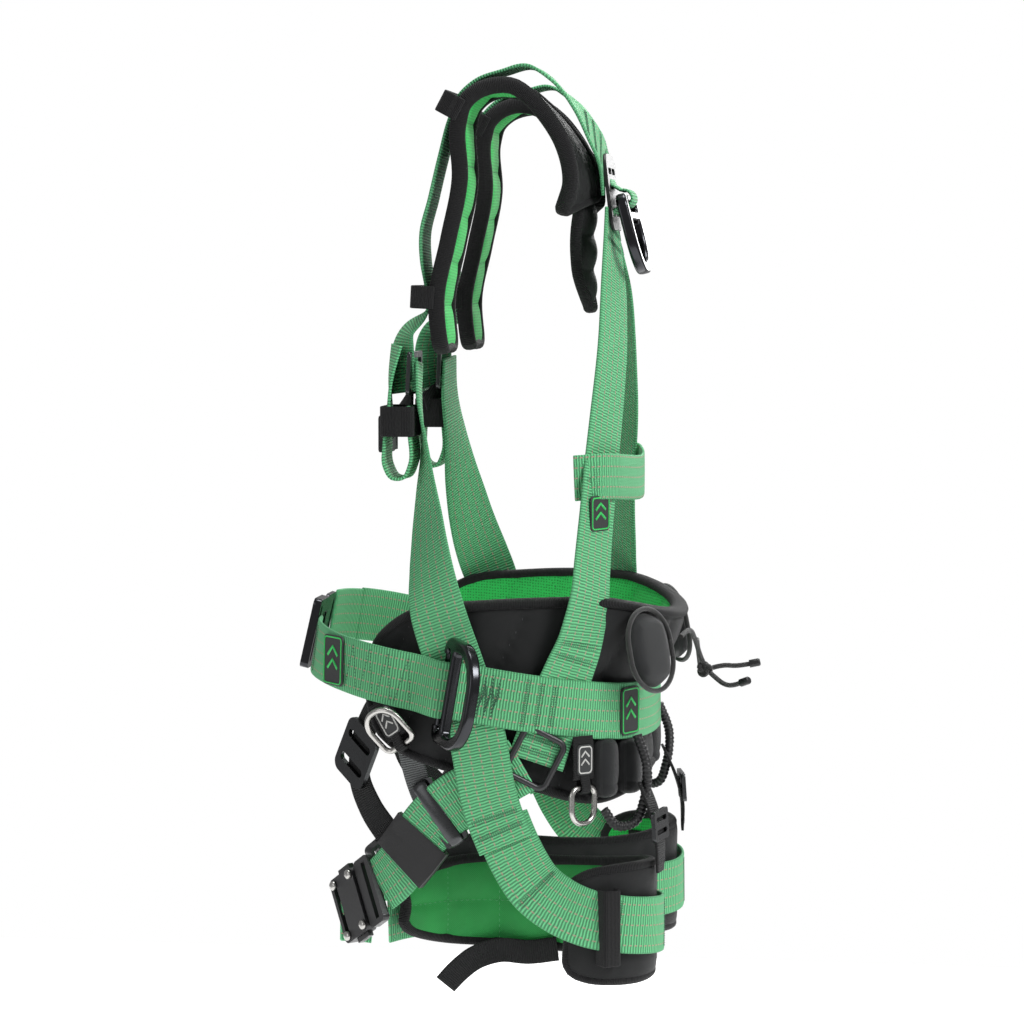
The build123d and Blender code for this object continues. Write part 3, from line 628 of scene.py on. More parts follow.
def swell(piece, pinned, pressure, cap):
    """Cloth under pressure, held at its seams. No point moves further than the cap."""
    scene = bpy.context.scene
    group = piece.vertex_groups.new(name="seams")
    group.add(pinned, 1.0, "REPLACE")
    rest = np.array([v.co for v in piece.data.vertices])
    cloth = piece.modifiers.new("swell", "CLOTH")
    cloth.settings.quality = 4
    cloth.settings.mass = 0.3
    cloth.settings.tension_stiffness = 12
    cloth.settings.compression_stiffness = 12
    cloth.settings.shear_stiffness = 6
    cloth.settings.bending_stiffness = 0.4
    cloth.settings.use_pressure = True
    cloth.settings.uniform_pressure_force = pressure
    cloth.settings.vertex_group_mass = group.name
    cloth.settings.effector_weights.gravity = 0
    cloth.collision_settings.use_collision = False
    cloth.point_cache.frame_start, cloth.point_cache.frame_end = 1, LAST_FRAME
    for number in range(1, LAST_FRAME + 1):
        scene.frame_set(number)
    posed = piece.evaluated_get(bpy.context.evaluated_depsgraph_get())
    swollen = np.array([v.co for v in posed.data.vertices])
    piece.modifiers.remove(cloth)
    piece.vertex_groups.clear()
    scene.frame_set(1)
    move = swollen - rest
    far = np.linalg.norm(move, axis=1, keepdims=True)
    move *= np.minimum(1.0, cap / np.maximum(far, 1e-9))
    piece.data.vertices.foreach_set("co", (rest + move).ravel())
    piece.data.update()


def corner_inset(distance, radius):
    """How far a rounded corner cuts in at this distance from the end."""
    if distance >= radius:
        return 0.0
    return radius - math.sqrt(max(0.0, radius ** 2 - (radius - distance) ** 2))


BINDING_DEPTH, BINDING_INSET = 0.0042, 0.0032


def bound_edge(name, padding, half_thick, material):
    """Binding tape folded over the padding's edge."""
    line, normals = padding.edge_line(BINDING_INSET)
    profile = oval(BINDING_DEPTH, half_thick, 14)
    profile = np.array([(u, math.copysign(abs(h) ** 0.8 * half_thick ** 0.2, h)) for u,
                        h in profile])
    return sweep(name, line, normals, profile, material, closed=True)


# ---- sizes and colours -----------------------------------------------------------------------
class SaddleSizes(bpy.types.PropertyGroup):
    """Sizes of the soft goods."""

    web_width: bpy.props.FloatProperty(name="Webbing width",
                                       description="Width of the load-bearing webbing",
                                       default=0.045, unit="LENGTH")
    web_thick: bpy.props.FloatProperty(name="Webbing thickness",
                                       description="Thickness of the webbing",
                                       default=0.0026, unit="LENGTH")
    narrow_width: bpy.props.FloatProperty(name="Narrow webbing",
                                          description="Width of the chest strap",
                                          default=0.020, unit="LENGTH")
    loop_width: bpy.props.FloatProperty(name="Link webbing", description="Width of the black links",
                                        default=0.025, unit="LENGTH")
    cord_thick: bpy.props.FloatProperty(name="Cord thickness",
                                        description="Diameter of the elastic cord",
                                        default=0.004, unit="LENGTH")
    pressure: bpy.props.FloatProperty(name="Stuffing pressure",
                                      description="Pressure that swells the padding",
                                      default=4.0)


class SaddleColours(bpy.types.PropertyGroup):
    """Main colours of the saddle, linear."""

    webbing: bpy.props.FloatVectorProperty(name="Webbing", description="Main webbing",
                                           subtype="COLOR",
                                           default=(0.15, 0.58, 0.26))
    marker: bpy.props.FloatVectorProperty(name="Marker thread",
                                          description="Dashed threads in the webbing",
                                          subtype="COLOR", default=(0.40, 0.29, 0.22))
    lining: bpy.props.FloatVectorProperty(name="Lining", description="Mesh lining of the padding",
                                          subtype="COLOR", default=(0.035, 0.55, 0.11))
    shell: bpy.props.FloatVectorProperty(name="Shell", description="Outer fabric of the padding",
                                         subtype="COLOR", default=(0.004, 0.0045, 0.005))


def sizes():
    return bpy.context.scene.saddle_sizes


def colour(name):
    return tuple(getattr(bpy.context.scene.saddle_colours, name))


BLACK = (0.006, 0.0065, 0.007)
MAKERS = {
    "webbing": lambda: webbing_finish("Green webbing", colour("webbing"), sizes().web_width,
                                      colour("marker")),
    "black webbing": lambda: webbing_finish("Black webbing", BLACK, sizes().loop_width, rib=0.0018),
    "grey webbing": lambda: webbing_finish("Grey webbing", (0.16, 0.17, 0.17), sizes().loop_width,
                                           rib=0.0018),
    "elastic": lambda: webbing_finish("Elastic band", (0.008, 0.008, 0.009), sizes().loop_width,
                                      rib=0.0012),
    "binding": lambda: webbing_finish("Binding tape", (0.006, 0.006, 0.007), sizes().loop_width,
                                      rib=0.0013),
    "shell": lambda: cloth_finish("Outer fabric", colour("shell")),
    "neoprene": lambda: cloth_finish("Roll fabric", (0.009, 0.010, 0.011), thread=0.0007,
                                     sheen=0.15),
    "lining": lambda: mesh_finish("Mesh lining", colour("lining")),
    # The lining colour darkened to 0.42 is painted shade. It is the same fabric as the lit lining
    # and is used on the near leg pad only.
    "satin lining": lambda: cloth_finish("Satin lining", tuned(colour("lining"), 0.42),
                                         thread=0.0016),
    "cord": lambda: cloth_finish("Elastic cord", (0.012, 0.012, 0.012), thread=0.0012, sheen=0.3),
    "dark steel": lambda: metal_finish("Black chrome steel", (0.045, 0.046, 0.05), 0.2),
    "steel": lambda: metal_finish("Satin steel", (0.50, 0.49, 0.47), 0.26, wear=(0.8, 0.8, 0.8)),
    "black steel": lambda: metal_finish("Coated steel", (0.035, 0.035, 0.037), 0.42, 0.6,
                                        (0.3, 0.3, 0.31), 0.2),
    "grey steel": lambda: metal_finish("Gunmetal", (0.075, 0.077, 0.08), 0.28),
    "plastic": lambda: plastic_finish("Black plastic", (0.014, 0.014, 0.015), 0.42),
    "rubber": lambda: plastic_finish("Label rubber", (0.035, 0.037, 0.038), 0.6),
    "pale raised": lambda: plastic_finish("Pale border", (0.55, 0.55, 0.53), 0.5),
    "raised": lambda: plastic_finish("Label border", tuned(colour("lining"), 1.0), 0.5),
    # Real dark green thread on the webbing seams. The back and shoulder lining seams use it, thick,
    # as painted crease shade.
    "dark thread and crease shade": lambda: thread_finish("Dark green thread", (0.025, 0.13, 0.06)),
    "black thread": lambda: thread_finish("Black thread", (0.02, 0.02, 0.022)),
    "grey thread": lambda: thread_finish("Grey thread", (0.05, 0.052, 0.055)),
    "green thread": lambda: thread_finish("Green thread", (0.06, 0.36, 0.12)),
}
FINISHES = {}


def finish_for(key):
    """The material of that name, made when it is first asked for."""
    if key not in FINISHES:
        FINISHES[key] = MAKERS[key]()
    return FINISHES[key]


# ---- belt line -------------------------------------------------------------------------------
BELT_HALF_WIDTH, BELT_HALF_DEPTH, BELT_CENTRE_Y = 149.0, 139.0, -39.0
BELT_SQUARENESS = 2.4
BELT_SIDE_Z, BELT_FALL = -468.0, 0.17
CLOSURE_LIFT, CLOSURE_LEAN = 16.0, 13.0


def ellipse_point(angle, half_width, half_depth):
    """Plan point and outward heading, the angle counted from the front through the left side."""
    s, c = math.sin(math.radians(angle)), -math.cos(math.radians(angle))
    power = 2 / BELT_SQUARENESS
    x = math.copysign(half_width * abs(s) ** power, s)
    y = math.copysign(half_depth * abs(c) ** power, c)
    slope_x = math.copysign(abs(x / half_width) ** (BELT_SQUARENESS - 1) / half_width, x)
    slope_y = math.copysign(abs(y / half_depth) ** (BELT_SQUARENESS - 1) / half_depth, y)
    return x, y + BELT_CENTRE_Y, math.degrees(math.atan2(slope_y, slope_x))


def belt_station(angle, outward=0.0):
    x, y, heading = ellipse_point(angle, BELT_HALF_WIDTH, BELT_HALF_DEPTH)
    from_front = min(angle, 360 - angle)
    lift = CLOSURE_LIFT * max(0.0, math.cos(math.radians(angle))) if angle > 180 else 0.0
    lean = CLOSURE_LEAN * max(0.0, 1 - from_front / 50)
    away = facing(heading) * outward
    return x + away[0], y + away[1], BELT_SIDE_Z - BELT_FALL * (y + 38) + lift, heading, lean


OVER_SLOT_BAR = [(79, 0), (83, 6), (85.5, 10), (87.5, 9), (90.5, 1.5), (93, 0)]


def belt_stations():
    left = [(angle, 0) for angle in (9, 14, 20, 29, 39, 50, 61, 71)] + OVER_SLOT_BAR
    rear = [(angle, 0) for angle in (101, 111, 122, 133, 145, 157, 169, 180)]
    right = [(360 - angle, out) for angle, out in reversed(left[3:] + rear[:-1])]
    return [belt_station(angle, out) for angle, out in left + rear + right]


# ---- strap stations: x, y, z, heading and pitch of the face ----------------------------------
SHOULDER_RUN = ((72, -69, -205, -90, -4), (72, -72, -164, -90, 0), (70, -63, -117, -90, 10),
                (68, -54, -70, -90, 6), (68, -55, -25, -90, 5), (68, -50, -8, -90, 35),
                (68, -39, 3, -90, 60), (67, -11, 9, -90, 84), (64, 5, 2, 90, 62),
                (60, 20, -12, 88, 48),
                (55, 35, -32, 84, 36), (46, 47, -66, 76, 12), (38, 44, -92, 70, -12))
SHOULDER_STRAP = ((14, 57, -70, 88, 8), (27, 56, -48, 84, 12), (46, 48, -28, 80, 28),
                  (60, 34, -6, 84, 50),
                  (67, 20, 10, 88, 60), (68, 4, 19, 90, 84), (68, -16, 15, -90, 74),
                  (68, -36, 8.5, -90, 60),
                  (68, -51, -5, -90, 35), (68, -58, -24, -90, 5), (69, -64, -48, -90, 12),
                  (70, -73, -84, -90, 16), (71, -80, -112, -90, 2), (72, -79, -134, -90, -14),
                  (72, -75, -156, -90, 0), (73, -78, -174, -80, 22), (75, -94, -190, -66, 30),
                  (77, -98, -214, -56, 0), (78, -96, -238, -52, -8))
BACK_STRAP = ((16, 63, -98, 84), (24, 65, -118, 78), (38, 68, -150, 70), (54, 69, -188, 66),
              (70, 68, -228, 64), (84, 66, -268, 62), (95, 63, -304, 61), (105, 61, -340, 60),
              (116, 60, -372, 57), (125, 59, -396, 54), (127.5, 55, -415, 50),
              (127.5, 49.5, -435, 44),
              (128, 43, -452, 38), (130.7, 35, -475, 28), (134.8, 26, -500, 20),
              (137.4, 18, -524, 14))
FRONT_STRAP = ((74, -84, -214, -86), (76, -84, -240, -84), (80, -80, -276, -78),
               (90, -77, -312, -62),
               (104, -73, -340, -46), (121, -69, -365, -32), (136, -64, -387, -18),
               (143.8, -59, -404, -8),
               (144.8, -54, -420, -3), (144.8, -47, -440, 0), (144.8, -38, -466, 0),
               (145.2, -30, -490, 0), (146.6, -24, -518, 1), (147.2, -19, -545, 2),
               (147, -13, -566, 4), (146.6, -4, -588, 6))
TAIL = ((80, -101, -200, -70), (81, -106, -228, -78), (82, -107, -252, -84), (82, -109, -278, -88),
        (82, -108, -296, -90, -20), (82, -102, -305, -90, -60), (82, -94, -305, -90, -120),
        (82, -88, -294, -90, -165), (82, -88, -270, -90, 180), (82, -89, -248, -90, 180))
CROSS = ((112.5, 45, -303, 50), (103, 64, -302, 61), (86, 74, -303, 64), (60, 81, -305, 76),
         (30, 85, -307, 84), (0, 86, -308, 90),
         (-30, 85, -307, 96), (-60, 81, -305, 104), (-86, 74, -303, 116), (-103, 64, -303, 119))
CHEST_LEFT = ((72, -90, -240, -80), (58, -98, -251, -72), (38, -110, -264, -66),
              (23, -118.5, -271, -78))
CHEST_RIGHT = ((-72, -90, -240, -100), (-64, -95, -246, -106), (-55, -101, -252, -112))
HIP_STRAP = ((141, 8, -525, 8), (143, -20, -541, 2), (140.5, -46, -556, -5),
             (132.5, -68, -577, -14),
             (127, -84, -600, -22), (122.5, -98, -618, -30), (118.5, -109, -628, -38))
LEG_STRAP = ((144, -9, -568, 4), (143.7, -3, -583, 6), (143.4, 6, -602, 8), (144, 19, -621, 12),
             (145, 38, -635, 16), (143.5, 62, -645, 24), (136, 86, -650, 42), (122, 104, -653, 62),
             (98, 113, -656, 86), (72, 110, -658, 110), (50, 92, -659, 138), (37, 62, -660, 166),
             (32.5, 26, -660, 178), (33, -12, -659, 183), (38, -48, -658, 194),
             (49, -78, -658, 212),
             (66, -98, -659, 228), (80, -109, -660, 236))
LEG_PAD = ((82, -102, 238, -634, -668), (66, -89, 228, -627, -676), (51, -69, 212, -620, -682),
           (41, -42, 196, -617, -685), (36, -10, 183, -617, -687), (36, 26, 178, -618, -689),
           (40.5, 60, 166, -617, -690), (53, 88, 138, -614, -692), (73, 105, 110, -610, -694),
           (98, 109, 86, -608, -695), (120, 100, 62, -607, -696), (133, 83, 42, -608, -696),
           (140, 61, 24, -612, -694), (141, 42, 10, -622, -688))
PAD_TAIL = ((47, 24, -690, 180), (49, 0, -693, 184), (54, -22, -691, 190), (58, -42, -697, 196),
            (60, -56, -708, 200), (61, -66, -719, 204))
FRONT_LINK = ((123, -103, -474, -48), (113, -118, -496, -46), (106, -127, -520, -42),
              (104, -128, -545, -38),
              (108, -118, -568, -32), (116, -102, -588, -26))
FRONT_STAY = ((129, -84, -514, -14), (127, -80, -532, -10), (127, -74, -550, -6),
              (128, -66, -566, -4))
REAR_LINK = ((92, 97, -544, 78), (96, 106, -566, 78), (99, 112, -590, 80), (100, 112.5, -614, 84))
STRAP_END = ((85.5, -144.5, -658, -47), (83, -147, -658.5, -90), (81.5, -143, -658.5, -160),
             (83, -133, -659, 190), (83.5, -121, -660, 198))
SLIDE_AT = np.array([133.0, -59.0, -566.0])
RIGHT_PAD_DROP = 8.0


def lowered(stations, side):
    """The right shoulder hangs lower at its top and not at all at its front tip."""
    drop = RIGHT_PAD_DROP if side < 0 else 0.0
    return [(s[0], s[1], s[2] - drop * min(1.0, max(0.0, 1 + s[2] / 200)),
             *s[3:]) for s in stations]


# ---- stage and cords -------------------------------------------------------------------------
AIM = Vector((0.0, -0.020, -0.340))
CAMERA_AZIMUTH, CAMERA_ELEVATION, CAMERA_DISTANCE = 98.0, 4.3, 2.6
CAMERA_LENS = 111.0


class SADDLE_OT_stage(bpy.types.Operator):
    """Camera, floor and soft studio light"""

    bl_idname = "saddle.stage"
    bl_label = "Stage"

    def execute(self, context):
        scene = context.scene
        azimuth, elevation = math.radians(CAMERA_AZIMUTH), math.radians(CAMERA_ELEVATION)
        back = Vector((math.sin(azimuth) * math.cos(elevation),
                       -math.cos(azimuth) * math.cos(elevation),
                       math.sin(elevation)))
        data = bpy.data.cameras.new("camera")
        data.lens, data.sensor_width = CAMERA_LENS, 36.0
        camera = bpy.data.objects.new("camera", data)
        camera.location = AIM + back * CAMERA_DISTANCE
        camera.rotation_euler = (-back).to_track_quat("-Z", "Y").to_euler()
        scene.collection.objects.link(camera)
        scene.camera = camera
        scene.view_settings.view_transform = "Standard"
        self.floor(context)
        self.lights(context)
        return {"FINISHED"}

    @staticmethod
    def floor(context):
        half, depth = 1.1, CAD_BOX[0][2] - 0.22
        corners = [(-half, -half, depth), (half, -half, depth), (half, half, depth),
                   (-half, half, depth)]
        finish = Finish("Studio floor", roughness=0.9, specular=0.1)
        finish.shader.inputs["Emission Color"].default_value = (1, 1, 1, 1)
        finish.shader.inputs["Emission Strength"].default_value = 0.55
        mottle = finish.noise(1.5, 2.0)
        floor = new_object("floor", corners, [(0, 1, 2, 3)],
                           finish.paint(finish.blend(mottle, (0.93, 0.93, 0.93),
                                                     (0.95, 0.95, 0.95))))

    @staticmethod
    def lights(context):
        world = bpy.data.worlds.new("studio")
        world.use_nodes = True
        tree = world.node_tree
        ray = tree.nodes.new("ShaderNodeLightPath")
        strength = tree.nodes.new("ShaderNodeMapRange")
        strength.inputs["To Min"].default_value = 0.36
        strength.inputs["To Max"].default_value = 1.0
        tree.links.new(ray.outputs["Is Camera Ray"], strength.inputs["Value"])
        tree.links.new(strength.outputs[0], tree.nodes["Background"].inputs["Strength"])
        tree.nodes["Background"].inputs["Color"].default_value = (1, 1, 1, 1)
        context.scene.world = world
        for name, place, size, power in (("key", (1.1, 1.9, 1.2), 0.9, 56),
                                         ("fill", (1.9, -1.6, 0.1), 1.4, 9),
                                         ("top", (-0.3, 0.1, 1.8), 1.0, 30),
                                         ("far side", (-1.8, 0.6, 0.4), 1.2, 22)):
            data = bpy.data.lights.new(name, "AREA")
            data.size, data.energy = size, power
            lamp = bpy.data.objects.new(name, data)
            lamp.location = place
            lamp.rotation_euler = (AIM - Vector(place)).to_track_quat("-Z", "Y").to_euler()
            context.scene.collection.objects.link(lamp)


CORD_TAILS = {
    "long": (((16, 146.5, -462), (15, 155, -459.5), (12, 166, -461), (11, 176, -459)), 0.0305),
    "short": (((21, 145.5, -466), (26, 151, -470), (31, 157, -473.5), (36, 164, -474),
               (40, 171, -471)), 0.033),
}
CORD_BRIDGE = ((79, 126, -430), (58, 131, -424), (38, 134, -436), (23, 137, -452),
               (19.5, 139, -457))
CORD_RETURN = ((-79, 126, -450), (-52, 130, -462), (-22, 134, -470), (4, 138, -466),
               (12, 140, -464))
KNOT = np.array([18, 140, -463]) * MM
POCKET_AT, POCKET_HEADING, POCKET_PITCH = np.array([95.0, 98.0, -440.0]), 58, 12
POCKET_HEIGHT, POCKET_WIDTH = 60.0, 48.0


def nurbs_cord(name, route, material):
    """Round cord along a route of control points in millimetres."""
    data = bpy.data.curves.new(name, "CURVE")
    data.dimensions = "3D"
    data.bevel_depth, data.bevel_resolution, data.resolution_u = sizes().cord_thick / 2, 4, 10
    data.use_fill_caps = True
    spline = data.splines.new("NURBS")
    spline.points.add(len(route) - 1)
    for point, place in zip(spline.points, route):
        point.co = (*(np.array(place) * MM), 1)
    spline.order_u = 3
    spline.use_endpoint_u = True
    data.materials.append(material)
    made = bpy.data.objects.new(name, data)
    bpy.context.scene.collection.objects.link(made)
    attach(made, ROOT)
    return made


class SADDLE_OT_cords(bpy.types.Operator):
    """Elastic cord round the back pockets, its knot and its two free tails"""

    bl_idname = "saddle.cords"
    bl_label = "Elastic cord"

    def execute(self, context):
        woven = finish_for("cord")
        for name, (route, length) in CORD_TAILS.items():
            tail = nurbs_cord(f"elastic_tail_{name}", route, woven)
            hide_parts(f"cord_tail_{name}")
        bridges = [nurbs_cord("pocket_cord_bridge", CORD_BRIDGE, woven),
                   nurbs_cord("pocket_cord_return", CORD_RETURN, woven)]
        for bridge in bridges:
            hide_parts("pocket_cords")
        turns = np.linspace(0, 2 * np.pi, 97)[:-1]
        reach = 3.4 + 1.5 * np.cos(3 * turns)
        line = np.stack([1.2 * np.sin(3 * turns) * 1.6, reach * np.cos(2 * turns),
                         reach * np.sin(2 * turns)], 1)
        outward = np.stack([np.cos(3 * turns), np.sin(2 * turns), np.cos(2 * turns)], 1)
        knot = sweep("elastic_knot", KNOT + line * MM, unit(outward), oval(0.0021, 0.0021), woven,
                     closed=True)
        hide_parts("cord_knot")
        return {"FINISHED"}


# ---- straps ----------------------------------------------------------------------------------
# Half the width that zigzags and bar tacks take on the wide webbing, in millimetres.
SEW_REACH, TACK_REACH = 18.5, 19


def green_strap(name, run, width=None, wave=0.0004, body=ROOT):
    made = strip(name, run, width or sizes().web_width, sizes().web_thick, finish_for("webbing"),
                 body, wave)
    return made


def black_strap(name, run, width, thickness=0.0022, kind="black webbing"):
    made = strip(name, run, width, thickness, finish_for(kind), ROOT, 0.0003)
    return made


class SADDLE_OT_belt(bpy.types.Operator):
    """Waist belt webbing with its sewn patterns"""

    bl_idname = "saddle.belt"
    bl_label = "Waist belt"

    def execute(self, context):
        run = Run(belt_stations())
        belt = green_strap("waist_belt", run)
        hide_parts("belt_webbing")
        front = Run([belt_station(angle, 0.2) for angle in (329, 334, 339, 344, 350)])
        link = strip("belt_front_right", front, sizes().web_width - 0.002, sizes().web_thick,
                     finish_for("webbing"), None)
        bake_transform(link)
        seams = Stitching("belt_seams", finish_for("dark thread and crease shade"))
        total = run.length[-1] / MM
        ring = self.where(run, 0.1515, -0.052)
        for start, sign in ((ring, 1), (total - ring, -1)):
            for offset in range(-96, -28, 17):
                seams.zigzag(run, start + sign * offset, 13.6, SEW_REACH, 6.8)
            for k in range(6):
                place = start + sign * (22 + 0.4 * k) - (0 if sign > 0 else 20)
                seams.zigzag(run, place, 20, SEW_REACH - 3.2 * k, 3.0)
            for k in range(3):
                seams.bar(run, start + sign * (62 + 11 * k), TACK_REACH - 1.5 * k)
        for place in (18, 30, total - 22, total - 34):
            seams.bar(run, place, TACK_REACH)
        seams.finish()
        return {"FINISHED"}

    @staticmethod
    def where(run, x, y):
        gap = np.hypot(run.line[:, 0] - x, run.line[:, 1] - y)
        return run.length[int(gap.argmin())] / MM


class SADDLE_OT_shoulder_webbing(bpy.types.Operator):
    """Webbing over both shoulders and the elastic keepers that hold it to the pads"""

    bl_idname = "saddle.shoulder_webbing"
    bl_label = "Shoulder webbing"

    def execute(self, context):
        seams = Stitching("shoulder_seams", finish_for("dark thread and crease shade"))
        straps = []
        for name, side in SIDES:
            run = Run(lowered(SHOULDER_STRAP, side), side)
            straps.append(green_strap(f"shoulder_webbing_{name}", run))
            for place in (16, 30, 44, 58):
                seams.bar(run, place, TACK_REACH)
            total = run.length[-1] / MM
            for place in (total - 12, total - 24):
                seams.zigzag(run, place - 10, 16, 18, 5)
            for x, y, z, pitch in ((68, -54.5, -12, 28), (72, -76.5, -162, 3)):
                (_, _, low, _, _), = lowered([(x, y, z, -90, pitch)], side)
                keeper = elastic_band(f"shoulder_keeper_{name}_{'top' if z > -50 else 'front'}",
                                      np.array([side * x, y, low]), facing(-90, pitch), 68, 20, 18)
                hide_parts("strap_keepers")
        for strap in straps:
            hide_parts("shoulder_straps")
        seams.finish()
        return {"FINISHED"}


def elastic_band(name, centre, face, width, depth, height):
    """A band round a strap, in millimetres: its loop lies across the face."""
    across = np.array([1.0, 0, 0]) if abs(face[0]) < 0.5 else unit(np.cross([0, 0, 1], face))
    line, outward = [], []
    for k in range(72):
        turn = 2 * math.pi * k / 72
        c, s = math.cos(turn), math.sin(turn)
        u = math.copysign(abs(c) ** 0.22, c) * width / 2
        h = math.copysign(abs(s) ** 0.45, s) * depth / 2
        line.append((centre + across * u + face * h) * MM)
        outward.append(across * c * depth + face * s * width)
    made = sweep(name, np.array(line), unit(np.array(outward)),
                 np.array(strip_profile(height * MM, 0.0015)), finish_for("elastic"), closed=True)
    return made


class SADDLE_OT_back_straps(bpy.types.Operator):
    """Straps from the back plate to the hips, the strap that ties them and the back ring's loop"""

    bl_idname = "saddle.back_straps"
    bl_label = "Back straps"

    def execute(self, context):
        seams = Stitching("back_seams", finish_for("dark thread and crease shade"))
        for name, side in SIDES:
            run = Run(BACK_STRAP, side)
            strap = green_strap(f"back_strap_{name}", run)
            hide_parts("back_straps")
            total = run.length[-1] / MM
            for place in (10, 22, 212, 224, total - 100, total - 88, total - 20, total - 10):
                seams.bar(run, place, TACK_REACH)
        cross_run = Run(CROSS)
        cross = green_strap("back_cross_webbing", cross_run, 0.036)
        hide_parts("back_cross_strap")
        seams.finish()
        ties = Stitching("cross_seams", finish_for("dark thread and crease shade"))
        total = cross_run.length[-1] / MM
        for place in (6, 16, total - 18, total - 8):
            ties.bar(cross_run, place, 12, lift=0.0013)
        ties.finish()
        wrap = self.wrap(np.array([0, 73, -83.0]))
        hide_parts("dorsal_ring_strap")
        return {"FINISHED"}

    @staticmethod
    def wrap(hinge):
        """Webbing folded round the back ring's slot bar, its two ends against the plate."""
        line, normals = [], []
        for y, z in ((60.5, -66), (63, -72)):
            line.append((0, y, z))
            normals.append((0, 0.55, 0.83))
        for k in range(13):
            turn = math.radians(110 - 220 * k / 12)
            line.append((0, hinge[1] + 6.9 * math.cos(turn), hinge[2] + 6.9 * math.sin(turn)))
            normals.append((0, math.cos(turn), math.sin(turn)))
        for y, z in ((66, -92), (63, -98)):
            line.append((0, y, z))
            normals.append((0, 0.5, -0.86))
        made = sweep("dorsal_ring_webbing", np.array(line) * MM, unit(np.array(normals, float)),
                     np.array(strip_profile(0.040, 0.0022)), finish_for("webbing"))
        return made


class SADDLE_OT_front_straps(bpy.types.Operator):
    """Front straps, the stowed tails under them and the tails' keepers"""

    bl_idname = "saddle.front_straps"
    bl_label = "Front straps"

    def execute(self, context):
        seams = Stitching("front_seams", finish_for("dark thread and crease shade"))
        for name, side in SIDES:
            run = Run(FRONT_STRAP, side)
            strap = green_strap(f"front_strap_{name}", run)
            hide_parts("front_straps")
            total = run.length[-1] / MM
            for place in (12, 24, 36, total - 118, total - 106, total - 26, total - 14):
                seams.bar(run, place, TACK_REACH)
            tail = green_strap(f"stowed_tail_{name}", Run(TAIL, side), 0.040)
            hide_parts("stowed_tails")
            keeper = elastic_band(f"tail_keeper_{name}", np.array([side * 82, -98, -260.0]),
                                  facing(-90), 46, 26, 24)
            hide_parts("strap_keepers")
        seams.finish()
        return {"FINISHED"}


class SADDLE_OT_chest(bpy.types.Operator):
    """Narrow chest strap in two halves"""

    bl_idname = "saddle.chest"
    bl_label = "Chest strap"

    def execute(self, context):
        for name, stations in (("left", CHEST_LEFT), ("right", CHEST_RIGHT)):
            strap = black_strap(f"chest_webbing_{name}", Run(stations), sizes().narrow_width,
                                0.0018)
            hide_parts("chest_straps")
        return {"FINISHED"}


class SADDLE_OT_hip_and_leg(bpy.types.Operator):
    """Hip straps, leg straps and the strap ends that ride with the leg buckles"""

    bl_idname = "saddle.hip_and_leg"
    bl_label = "Hip and leg straps"

    def execute(self, context):
        seams = Stitching("leg_seams", finish_for("dark thread and crease shade"))
        for name, side in SIDES:
            hip_run, leg_run = Run(HIP_STRAP, side), Run(LEG_STRAP, side)
            hip = green_strap(f"hip_strap_{name}", hip_run)
            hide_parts("hip_straps")
            leg = green_strap(f"leg_strap_{name}", leg_run)
            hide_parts("leg_straps")
            for place in (8, 18, 60, 130, 190, 300, 410, 420):
                seams.bar(leg_run, place, TACK_REACH)
            for place in (14, 26):
                seams.bar(hip_run, place, TACK_REACH)
            self.slide_bar(f"hip_slide_bar_{name}", side)
            end = green_strap(f"buckle_strap_{name}", Run(STRAP_END, side, 1.5), 0.044, wave=0.0,
                              body=f"leg_buckle_body_{name}")
            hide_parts(f"leg_strap_end_{name}")
            face = facing(35) * (side, 1, 1)
            keeper = elastic_band(f"leg_keeper_{name}",
                                  np.array([side * 137.5, 74, -652.0]) - face * 0.5, face,
                                  15, 20, 60)
            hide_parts("strap_keepers")
        seams.finish()
        return {"FINISHED"}

    @staticmethod
    def slide_bar(name, side):
        """The slide's broad front bar, which lies over the webbing."""
        flip = np.array([side, 1, 1])
        face, across = facing(-10, 4), unit(np.array([-0.12, -0.58, 0.8]))
        middle = SLIDE_AT + face * 4.6
        reach = np.array([(-28, -3.2), (-26.5, -0.8), (-23, 0), (0, 0.5), (23, 0), (26.5, -0.8),
                          (28, -3.2)])
        line = np.array([(middle + across * u + face * h) * flip * MM for u, h in reach])
        made = sweep(name, line, np.tile(face * flip, (len(line), 1)), oval(0.0062, 0.0018, 16),
                     finish_for("grey steel"))


class SADDLE_OT_links(bpy.types.Operator):
    """Black links between the back pad and the leg loops, and the leg pad's loose tail"""

    bl_idname = "saddle.links"
    bl_label = "Links"

    def execute(self, context):
        seams = Stitching("link_seams", finish_for("black thread"))
        for name, side in SIDES:
            for part, stations, kind in (("front", FRONT_LINK, "black webbing"),
                                         ("stay", FRONT_STAY, "grey webbing"),
                                         ("rear", REAR_LINK, "black webbing")):
                width = 0.020 if part == "stay" else sizes().loop_width
                run = Run(stations, side)
                link = black_strap(f"{part}_link_{name}", run, width, kind=kind)
                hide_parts("link_straps")
                total = run.length[-1] / MM
                seams.bar(run, 5, width * 450, lift=0.0013)
                seams.bar(run, total - 10, width * 450, lift=0.0013)
        tail = black_strap("leg_pad_tail_webbing", Run(PAD_TAIL), sizes().narrow_width, 0.0018)
        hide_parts("leg_pad_tail")
        seams.finish()
        return {"FINISHED"}


# ---- padding pieces --------------------------------------------------------------------------
PAD_EDGES = ((57, -444, -474), (61, -431, -500), (66, -420, -512), (73, -409, -521),
             (81, -402, -528),
             (90, -399, -535), (100, -397, -542), (112, -396, -549), (124, -396, -557),
             (136, -397, -561), (148, -402, -559), (160, -408, -554), (170, -412, -550),
             (180, -414, -548))
PAD_HALF_WIDTH, PAD_HALF_DEPTH = BELT_HALF_WIDTH - 9.0, BELT_HALF_DEPTH - 4.0
PAD_SHELL, PAD_LINING = 8.0, 6.0
REAR_FLARE = 27.0
LAYER_GAP = 0.3


